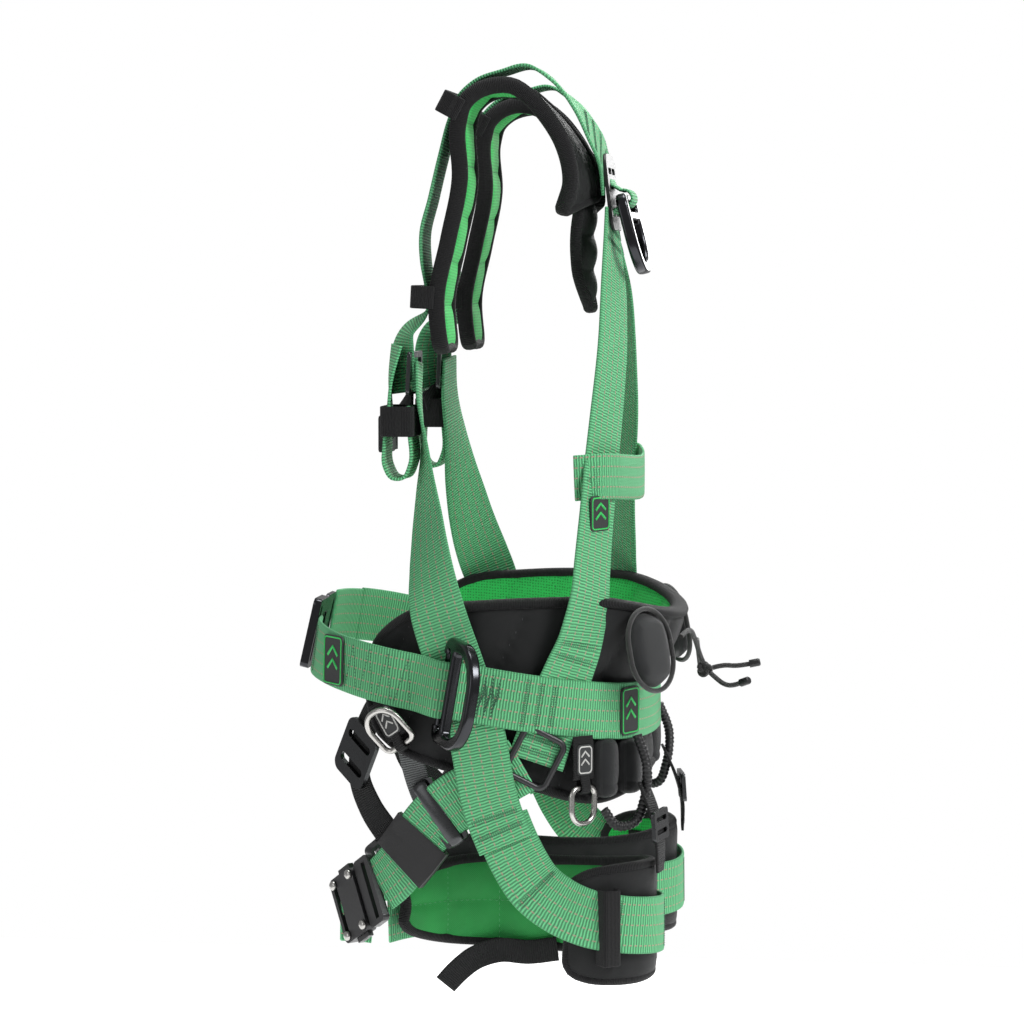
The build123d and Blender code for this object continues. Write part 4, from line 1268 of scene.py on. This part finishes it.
def back_pad_grid(depth, spacing=5.0, rows=29, edge=2.5):
    """Padding grid of the back pad, left tip to right tip, at a depth inside its outer face."""
    angles = np.linspace(57, 303, 800)
    plan = np.array([ellipse_point(a, PAD_HALF_WIDTH, PAD_HALF_DEPTH) for a in angles])
    travel = np.concatenate([[0], np.cumsum(np.hypot(*np.diff(plan[:, :2], axis=0).T))])
    count = int(travel[-1] / spacing)
    half = np.array(PAD_EDGES, float)
    points, normals = [], []
    for along in np.linspace(0, travel[-1], count):
        angle = np.interp(along, travel, angles)
        x, y, heading = ellipse_point(angle, PAD_HALF_WIDTH, PAD_HALF_DEPTH)
        front = min(angle, 360 - angle)
        top, bottom = smooth_through(half[:, 1:], half[:, 0], [front])[0]
        inset = corner_inset(min(along, travel[-1] - along), 14)
        flare = REAR_FLARE * max(0.0, -math.cos(math.radians(angle))) ** 2.5
        waist = min(BELT_SIDE_Z - BELT_FALL * (y + 38) + 16, top - 10)
        knots = np.array([(bottom, 0.8), (waist, 0.0),
                          (0.6 * top + 0.4 * waist, 0.75 * flare + 0.7),
                          (top, flare + 2)])
        heights = np.linspace(top - inset - edge, bottom + inset * 0.6 + edge, rows)
        out = smooth_through(knots[:, 1:], knots[:, 0], heights)[:, 0]
        face = facing(heading)
        slope = np.gradient(out, heights)
        points.append([(np.array([x, y, 0]) + face * (o - depth) + (0, 0, z)) * MM
                       for o, z in zip(out, heights)])
        normals.append([face - np.array([0, 0, s]) for s in slope])
    return Padding(points, normals)


def run_grid(stations, side, depth, width, spacing=4.5, rows=13, ends=(14, 4)):
    """Padding along a run of stations, at a depth under its face, with rounded ends."""
    run = Run(stations, side, spacing)
    total = run.length[-1] / MM
    points, normals = [], []
    for i, along in enumerate(run.length / MM):
        inset = corner_inset(along, ends[0]) + corner_inset(total - along, ends[1])
        half = width / 2 - inset
        row = [run.line[i] + run.across[i] * (u * MM * side) - run.face[i] * (depth * MM)
               for u in np.linspace(-half, half, rows)]
        points.append(row)
        normals.append([run.face[i]] * rows)
    return Padding(points, normals)


class SADDLE_OT_back_pad(bpy.types.Operator):
    """Quilted back pad: black outer face, green mesh lining and the binding round both"""

    bl_idname = "saddle.back_pad"
    bl_label = "Back pad"

    def execute(self, context):
        seams = Stitching("back_pad_stitching", finish_for("grey thread"), 0.0009)
        outer = back_pad_grid(PAD_SHELL / 2)
        shell = outer.build("back_pad_outer", finish_for("shell"), 0.0036, self.outer_seams,
                            sizes().pressure, stitches=seams)
        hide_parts("back_pad_shell")
        seams.finish()
        # The lining seams are real, but they are sewn thick in dark thread as painted shade in the
        # creases between the channels.
        threads = Stitching("back_lining_stitching", finish_for("dark thread and crease shade"), 0.0013)
        inner = back_pad_grid(PAD_SHELL + LAYER_GAP + PAD_LINING / 2)
        lining = inner.build("back_pad_mesh", finish_for("lining"), 0.0034, self.lining_seams,
                             sizes().pressure, stitches=threads)
        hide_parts("back_pad_lining")
        threads.finish()
        middle = back_pad_grid((PAD_SHELL + PAD_LINING) / 2, edge=0.5)
        edge = bound_edge("back_pad_binding", middle, 0.0078, finish_for("binding"))
        return {"FINISHED"}

    @staticmethod
    def outer_seams(i, j):
        """Slanting channels from the top edge to the bottom one."""
        return (i + j // 2) % 9 == 0

    @staticmethod
    def lining_seams(i, j):
        return (i - j // 2) % 8 == 0


class SADDLE_OT_shoulder_pads(bpy.types.Operator):
    """Shoulder pads with their linings, bindings and the yoke between the shoulder blades"""

    bl_idname = "saddle.shoulder_pads"
    bl_label = "Shoulder pads"

    SHELL, LINING, WIDTH = 5.0, 7.0, 62.0

    def execute(self, context):
        # The lining seams are real, but they are sewn in dark thread as painted shade in the creases
        # between the channels.
        threads = Stitching("shoulder_lining_stitching", finish_for("dark thread and crease shade"), 0.0010)
        linings = []
        for name, side in SIDES:
            run = lowered(SHOULDER_RUN, side)
            shell = run_grid(run, side, self.SHELL / 2, self.WIDTH - 5)
            made = shell.build(f"shoulder_pad_outer_{name}", finish_for("shell"), 0.0022,
                               lambda i, j: j in (3, 9), sizes().pressure, cap=0.002)
            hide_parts(f"shoulder_pad_{name}")
            lining = run_grid(run[:-1], side, self.SHELL + LAYER_GAP + self.LINING / 2,
                              self.WIDTH - 6)
            soft = lining.build(f"shoulder_pad_mesh_{name}", finish_for("lining"), 0.0033,
                                lambda i, j: i % 8 == 0, sizes().pressure, stitches=threads)
            linings.append(soft)
            middle = run_grid(run, side, (self.SHELL + self.LINING) / 2, self.WIDTH)
            edge = bound_edge(f"shoulder_pad_binding_{name}", middle, 0.0066, finish_for("binding"))
        for soft in linings:
            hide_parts("shoulder_linings")
        threads.finish()
        self.yoke()
        return {"FINISHED"}

    @staticmethod
    def yoke():
        """A curved tongue that hangs between the shoulder blades."""
        radius, middle_y = 47.5, -2.0
        outline = np.array([(-70, 25), (-90, 28), (-110, 31), (-130, 31), (-148, 28), (-161, 21),
                            (-169, 14),
                            (-173, 7)], float)
        heights = np.linspace(-70, -173, 23)
        half = smooth_through(outline[::-1, 1:], outline[::-1, 0], heights)[:, 0]
        points, normals = [], []
        for z, reach in zip(heights, half):
            row = []
            for share in np.linspace(-1, 1, 17):
                turn = math.asin(max(-0.97, min(0.97, reach * share / radius)))
                out = np.array([math.sin(turn), math.cos(turn), 0])
                row.append(((out * radius + (0, middle_y, z)) * MM, out))
            points.append([p for p, _ in row])
            normals.append([n for _, n in row])
        pad = Padding(points, normals)
        threads = Stitching("yoke_stitching", finish_for("black thread"), 0.0008)
        made = pad.build("yoke", finish_for("shell"), 0.004, lambda i, j: i % 6 == 3,
                         sizes().pressure,
                         cap=0.0025, stitches=threads)
        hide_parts("yoke_pad")
        threads.finish()
        edge = bound_edge("yoke_binding", pad, 0.0048, finish_for("binding"))


class SADDLE_OT_leg_pads(bpy.types.Operator):
    """Leg pads with their linings and bindings"""

    bl_idname = "saddle.leg_pads"
    bl_label = "Leg pads"

    SHELL, LINING = 5.0, 5.0

    def execute(self, context):
        threads = Stitching("leg_lining_stitching", finish_for("green thread"), 0.0008)
        linings = []
        for name, side in SIDES:
            shell = self.grid(side, self.SHELL / 2, 0)
            made = shell.build(f"leg_pad_outer_{name}", finish_for("shell"), 0.0022,
                               lambda i, j: i % 10 == 0, sizes().pressure, cap=0.002)
            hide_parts(f"leg_pad_{name}")
            lining = self.grid(side, self.SHELL + LAYER_GAP + self.LINING / 2, 3)
            # The left lining gets the darkened copy of the lining colour, which is painted shade;
            # the right one keeps the lit lining colour.
            soft = lining.build(f"leg_pad_lining_{name}",
                                finish_for("satin lining" if side > 0 else "lining"), 0.0024,
                                lambda i, j: i % 9 == 0 or j == 8, sizes().pressure, cap=0.0025,
                                stitches=threads)
            linings.append(soft)
            middle = self.grid(side, (self.SHELL + self.LINING) / 2 + 1.5, 3)
            edge = bound_edge(f"leg_pad_binding_{name}", middle, 0.0046, finish_for("binding"))
        for soft in linings:
            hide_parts("leg_linings")
        threads.finish()
        return {"FINISHED"}

    @staticmethod
    def grid(side, depth, grow, spacing=5.0, rows=17):
        columns = np.array([(x, y, *facing(heading)[:2], top, low) for x, y, heading, top,
                            low in LEG_PAD])
        travel = np.concatenate([[0], np.cumsum(np.hypot(*np.diff(columns[:, :2], axis=0).T))])
        wanted = np.linspace(0, travel[-1], int(travel[-1] / spacing))
        points, normals = [], []
        for along, (x, y, fx, fy, top, low) in zip(wanted, smooth_through(columns, travel, wanted)):
            face = unit(np.array([fx * side, fy, 0]))
            inset = corner_inset(min(along, travel[-1] - along), 10)
            heights = np.linspace(top + grow - inset, low - grow + inset, rows)
            bulge = 1.1 * np.linspace(-1, 1, rows) ** 2
            points.append([(np.array([x * side, y, z]) + face * (b - depth)) * MM for z,
                           b in zip(heights, bulge)])
            normals.append([face] * rows)
        return Padding(points, normals)


def pocket_axes(side):
    """Middle, sideways, up and outward directions of a back pocket."""
    face = facing(POCKET_HEADING, POCKET_PITCH) * (side, 1, 1)
    across = unit(np.cross([0, 0, 1], face))
    return POCKET_AT * (side, 1, 1), across, np.cross(face, across), face


def oval_track(side, grow, lift, count=96):
    """A closed line round a back pocket's upright oval, with its outward directions."""
    middle, across, up, face = pocket_axes(side)
    radius = POCKET_WIDTH / 2 + grow
    straight = (POCKET_HEIGHT - POCKET_WIDTH) / 2
    line, outward = [], []
    for k in range(count):
        turn = 2 * math.pi * k / count
        c, s = math.cos(turn), math.sin(turn)
        line.append((middle + face * lift + across * (radius * c)
                     + up * (radius * s + math.copysign(straight, s)))
                    * MM)
        outward.append(across * c + up * s)
    return np.array(line), np.array(outward)


class SADDLE_OT_pockets(bpy.types.Operator):
    """Oval back pockets with their cord, and the soft rolls under the belt"""

    bl_idname = "saddle.pockets"
    bl_label = "Pockets and rolls"

    def execute(self, context):
        pads, loops, rolls = [], [], []
        for name, side in SIDES:
            middle, across, up, face = pocket_axes(side)
            points, normals = [], []
            for a in np.linspace(-1, 1, 17):
                row = []
                for b in np.linspace(-1, 1, 15):
                    u = a * math.sqrt(1 - b * b / 2) * POCKET_HEIGHT / 2
                    w = b * math.sqrt(1 - a * a / 2) * POCKET_WIDTH / 2
                    row.append((middle + face * 4.5 + up * u + across * w) * MM)
                points.append(row)
                normals.append([face] * 15)
            pad = Padding(points, normals)
            made = pad.build(f"back_pocket_{name}", finish_for("neoprene"), 0.0078,
                             lambda i, j: False, sizes().pressure, cap=0.003, fill=0.9)
            pads.append(made)
            line, outward = oval_track(side, 2.6, 7.5)
            loop = sweep(f"pocket_cord_{name}", line, outward, oval(0.002, 0.002),
                         finish_for("cord"), closed=True)
            loops.append(loop)
            for k, (x, y, low, high) in enumerate(((103, 68, -556, -508), (79, 84.5, -556, -511))):
                rolls.append(self.roll(f"corner_roll_{name}_{'outer' if k == 0 else 'inner'}",
                                       side * x, y, low, high))
        for pad in pads:
            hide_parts("pocket_pads")
        for loop in loops:
            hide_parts("pocket_cords")
        for roll in rolls:
            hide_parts("corner_rolls")
        return {"FINISHED"}

    @staticmethod
    def roll(name, x, y, low, high, radius=11.0, around=28):
        """A soft roll: a bulging tube with a tight seam near its foot and rounded ends."""
        rings = [(0.0, 0.0), (0.02, 0.55), (0.06, 0.86), (0.12, 0.97), (0.2, 0.985), (0.235, 0.9),
                 (0.27, 0.985),
                 (0.4, 1.03), (0.55, 1.04), (0.7, 1.02), (0.85, 0.99), (0.94, 0.86), (0.98, 0.5),
                 (1.0, 0.0)]
        vertices, uvs, faces = [], [], []
        for share, girth in rings:
            z = low + (high - low) * share
            for k in range(around):
                turn = 2 * math.pi * k / around
                dent = 1 - 0.03 * math.cos(5 * turn) * math.sin(math.pi * share)
                reach = radius * girth * dent
                vertices.append(np.array([x + reach * math.cos(turn), y + reach * math.sin(turn),
                                          z]) * MM)
                uvs.append((radius * turn * MM, z * MM))
        for i in range(len(rings) - 1):
            for k in range(around):
                n = (k + 1) % around
                faces.append((i * around + k, i * around + n, (i + 1) * around + n,
                              (i + 1) * around + k))
        made = new_object(name, vertices, faces, finish_for("neoprene"), uvs)
        mesh = bmesh.new()
        mesh.from_mesh(made.data)
        bmesh.ops.remove_doubles(mesh, verts=mesh.verts, dist=1e-6)
        bmesh.ops.recalc_face_normals(mesh, faces=mesh.faces)
        mesh.to_mesh(made.data)
        mesh.free()
        refine = made.modifiers.new("refine", "SUBSURF")
        refine.levels = refine.render_levels = 1
        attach(made, ROOT)
        return made


# ---- gear loops, tabs and labels -------------------------------------------------------------
GEAR_LOOP = ((93, 93, -507), (97, 101, -530), (96, 99, -558), (101, 92, -575), (110, 79, -577),
             (113, 69, -564))
TABS = {"rear": ((124.4, 52.2, -504), (125.7, 52.2, -541), 52),
        "front": ((133.5, -106, -478), (139.2, -88, -508), -30)}
RING_EYE = 2.75


def tab_axes(top, bottom, heading):
    """Directions down a ring tab, across it and out of its face."""
    down = unit(bottom - top)
    across = unit(np.cross(down, facing(heading)))
    return down, across, np.cross(across, down)


class SADDLE_OT_gear_loops(bpy.types.Operator):
    """Ribbed gear loops and the webbing tabs that carry the small rings"""

    bl_idname = "saddle.gear_loops"
    bl_label = "Gear loops and tabs"

    def execute(self, context):
        for name, side in SIDES:
            places = np.array(GEAR_LOOP, float) * (side, 1, 1)
            chords = np.concatenate([[0], np.cumsum(np.linalg.norm(np.diff(places, axis=0),
                                                                   axis=1))])
            line = smooth_through(places, chords, np.linspace(0, chords[-1], 170)) * MM
            out = np.tile([0.6 * side, 0.7, 0.3], (len(line), 1))
            loop = sweep(f"gear_loop_tube_{name}", line, unit(out), oval(0.0037, 0.0037, 16),
                         finish_for("plastic"),
                         taper=lambda v: 1
                         + 0.07 * math.copysign(1, math.sin(v * 2 * math.pi / 0.0034)))
            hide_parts("gear_loops")
            for part, (top, bottom, heading) in TABS.items():
                ends = np.array(top, float), np.array(bottom, float)
                tab = self.tab(f"{part}_ring_tab_{name}", *ends, heading, side)
                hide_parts("ring_tabs")
                flip = np.array([side, 1, 1])
                down, _, face = tab_axes(*ends, heading)
                for piece in SADDLE_OT_labels.patch(f"{part}_tab_label_{name}",
                                                    (sum(ends) / 2 + face * 3.2) * flip,
                                                    face * flip, 17, 24, "pale raised",
                                                    -down * flip):
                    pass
        return {"FINISHED"}

    @staticmethod
    def tab(name, top, bottom, heading, side):
        """Webbing down the front, round the ring's bar and back up behind."""
        down, _, face = tab_axes(top, bottom, heading)
        eye = bottom + down * (RING_EYE + 1.0) + face * 2.4
        radius = RING_EYE + 1.0
        line = [top + face * 0.9, top + down * 10 + face * 1.1, bottom - down * 12 + face * 1.8]
        normals = [face, face, face]
        for k in range(11):
            turn = math.radians(90 - 180 * k / 10)
            out = face * math.sin(turn) + down * math.cos(turn)
            line.append(eye + out * radius)
            normals.append(out)
        line += [bottom - down * 10 - face * 1.0, top + down * 10 - face * 1.0]
        normals += [-face, -face]
        flip = np.array([side, 1, 1])
        made = sweep(name, np.array(line) * flip * MM, unit(np.array(normals)) * flip,
                     np.array(strip_profile(0.0095, 0.0018)), finish_for("black webbing"))
        cover = [top + face * 1.6, top + down * 8 + face * 2.2, bottom - down * 8 + face * 2.6,
                 bottom - down * 3
                 + face * 2.4]
        wide = sweep(f"{name}_face", np.array(cover) * flip * MM, np.tile(face * flip, (4, 1)),
                     np.array(strip_profile(0.022, 0.0022)), finish_for("black webbing"))
        both = join(name, made, wide)
        return both


class SADDLE_OT_labels(bpy.types.Operator):
    """Moulded rubber patches with a raised border and a plain device in the middle"""

    bl_idname = "saddle.labels"
    bl_label = "Labels"

    def execute(self, context):
        patches = []
        for name, angle, width, height in (("front", 43, 30, 40), ("rear", 150, 26, 38)):
            x, y, z, heading, lean = belt_station(angle)
            face = facing(heading, lean)
            patches += self.patch(f"belt_label_{name}", np.array([x, y, z]) + face * 1.7, face,
                                  width, height)
        face = facing(62)
        patches += self.patch("cross_label", np.array([101.6, 61.6, -331.0]) + face * 2.2, face, 26,
                              28)
        for part in patches:
            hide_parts("labels")
        return {"FINISHED"}

    @staticmethod
    def patch(name, origin, face, width, height, trim="raised", upward=(0, 0, 1)):
        """A rounded plate, its border and a chevron device, each a little higher."""
        across = unit(np.cross(upward, face))
        up = np.cross(face, across)

        def ring(w, h, corner, count=40):
            track = []
            for k in range(count):
                turn = 2 * math.pi * (k + 0.5) / count
                c, s = math.cos(turn), math.sin(turn)
                u = math.copysign(w / 2 - corner, c) + corner * c
                v = math.copysign(h / 2 - corner, s) + corner * s
                track.append((origin + across * u + up * v) * MM)
            return np.array(track)

        outline = ring(width, height, 4)
        vertices, faces = [], []
        count = len(outline)
        for lift, grow in ((0.0, 1.0), (1.0, 1.0), (1.4, 0.97)):
            middle = outline.mean(axis=0)
            vertices += [middle + (p - middle) * grow + face * lift * MM for p in outline]
        for level in range(2):
            for k in range(count):
                n = (k + 1) % count
                faces.append((level * count + k, level * count + n, (level + 1) * count + n,
                              (level + 1) * count + k))
        faces.append(tuple(range(2 * count, 3 * count)))
        faces.append(tuple(reversed(range(count))))
        plate = new_object(name, vertices, faces, finish_for("rubber"), smooth=False)
        fix_normals(plate)
        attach(plate, ROOT)
        top = face * 1.4 * MM
        border = sweep(f"{name}_border", ring(width - 3.4, height - 3.4, 3) + top,
                       np.tile(face, (count, 1)),
                       oval(0.0006, 0.0006, 8), finish_for(trim), closed=True)
        device = []
        for row in range(2):
            base = origin + face * 1.4 + up * (height * (0.16 - 0.26 * row))
            points = [base + across * (width * u) + up * (height * v)
                      for u, v in ((-0.26, -0.06), (-0.13, 0.03), (0, 0.12), (0.13, 0.03),
                                   (0.26, -0.06))]
            device.append(sweep(f"{name}_device_{row}", np.array(points) * MM,
                                np.tile(face, (5, 1)),
                                oval(width * 0.000042, 0.0006, 8), finish_for(trim)))
        return [plate, join(f"{name}_border", border, *device)]


# ---- carried-over hardware -------------------------------------------------------------------
HARDWARE = {
    "steel": ("front_gear_ring_left", "front_gear_ring_right", "rear_gear_ring_left",
              "rear_gear_ring_right"),
    "dark steel": ("side_d_ring_left", "side_d_ring_right", "dorsal_d_ring", "closure_frame",
                   "closure_tongue"),
    "grey steel": ("link_slides", "shoulder_adjusters", "hip_slides"),
    "black steel": ("hip_buckles", "leg_buckle_tongues", "leg_buckle_body_left",
                    "leg_buckle_body_right",
                    "leg_buckle_upper_lever_left", "leg_buckle_upper_lever_right",
                    "leg_buckle_lower_lever_left", "leg_buckle_lower_lever_right"),
    "plastic": ("dorsal_plate", "chest_buckle_socket", "chest_buckle_plug", "cord_cap_long",
                "cord_cap_short"),
}
BUCKLE_AT = np.array([97.0, -132.0, -646.0])


class SADDLE_OT_hardware(bpy.types.Operator):
    """Finishes and softened edges for the metal and plastic parts"""

    bl_idname = "saddle.hardware"
    bl_label = "Hardware"

    def execute(self, context):
        for kind, names in HARDWARE.items():
            for name in names:
                self.dress(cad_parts[name], finish_for(kind))
        self.dress(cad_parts["strap_sleeves"], finish_for("plastic"))
        for name, side in SIDES:
            heads = self.rivets(f"buckle_rivets_{name}", side)
            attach(heads, f"leg_buckle_body_{name}")
        return {"FINISHED"}

    @staticmethod
    def rivets(name, side, around=20):
        """Bright domed heads at the four corners of a leg buckle."""
        face, pull = facing(-47), facing(43) * math.cos(math.radians(30)) + (0, 0, 0.5)
        up = np.cross(face, pull)
        vertices, faces = [], []
        for along, across in ((-18.5, -21.5), (-18.5, 21.5), (7.5, -21.5), (7.5, 21.5)):
            first = len(vertices)
            rings = ((3.8, 5.4), (3.8, 6.8), (3.2, 7.5), (2.0, 7.9), (0.01, 8.0))
            for radius, lift in rings:
                for k in range(around):
                    turn = 2 * math.pi * k / around
                    spot = BUCKLE_AT + pull * (along + radius * math.cos(turn)) + face * lift
                    spot = spot + up * (across + radius * math.sin(turn))
                    vertices.append(spot * (side, 1, 1) * MM)
            for i in range(len(rings) - 1):
                for k in range(around):
                    n = (k + 1) % around
                    base = first + i * around
                    faces.append((base + k, base + n, base + n + around, base + k + around))
        heads = new_object(name, vertices, faces, finish_for("steel"))
        fix_normals(heads)
        return heads

    @staticmethod
    def dress(part, material):
        part.data.materials.clear()
        part.data.materials.append(material)
        weld = part.modifiers.new("weld", "WELD")
        weld.merge_threshold = 0.00001
        round_off = part.modifiers.new("soft edges", "BEVEL")
        round_off.width, round_off.segments = 0.0004, 2
        round_off.limit_method, round_off.angle_limit = "ANGLE", math.radians(38)
        round_off.harden_normals = True


# ---- panel, registration and the whole build -------------------------------------------------
OPERATORS = (SADDLE_OT_stage, SADDLE_OT_cords, SADDLE_OT_belt, SADDLE_OT_shoulder_webbing,
             SADDLE_OT_back_straps,
             SADDLE_OT_front_straps, SADDLE_OT_chest, SADDLE_OT_hip_and_leg, SADDLE_OT_links,
             SADDLE_OT_back_pad,
             SADDLE_OT_shoulder_pads, SADDLE_OT_leg_pads, SADDLE_OT_pockets, SADDLE_OT_gear_loops,
             SADDLE_OT_labels, SADDLE_OT_hardware)


class SADDLE_PT_panel(bpy.types.Panel):
    """Lists the saddle's sizes, colours and pieces"""

    bl_label = "Tree climbing saddle"
    bl_idname = "SADDLE_PT_panel"
    bl_space_type = "VIEW_3D"
    bl_region_type = "UI"
    bl_category = "Saddle"

    def draw(self, context):
        for group in (context.scene.saddle_sizes, context.scene.saddle_colours):
            for name in group.__annotations__:
                self.layout.prop(group, name)
        for operator in OPERATORS:
            self.layout.operator(operator.bl_idname)


CLASSES = (SaddleSizes, SaddleColours, *OPERATORS, SADDLE_PT_panel)


def register():
    for made in CLASSES:
        bpy.utils.register_class(made)
    bpy.types.Scene.saddle_sizes = bpy.props.PointerProperty(type=SaddleSizes)
    bpy.types.Scene.saddle_colours = bpy.props.PointerProperty(type=SaddleColours)


def unregister():
    del bpy.types.Scene.saddle_colours
    del bpy.types.Scene.saddle_sizes
    for made in reversed(CLASSES):
        bpy.utils.unregister_class(made)


def main():
    register()
    for operator in OPERATORS:
        group, name = operator.bl_idname.split(".")
        getattr(getattr(bpy.ops, group), name)()


if __name__ == "__main__":
    main()
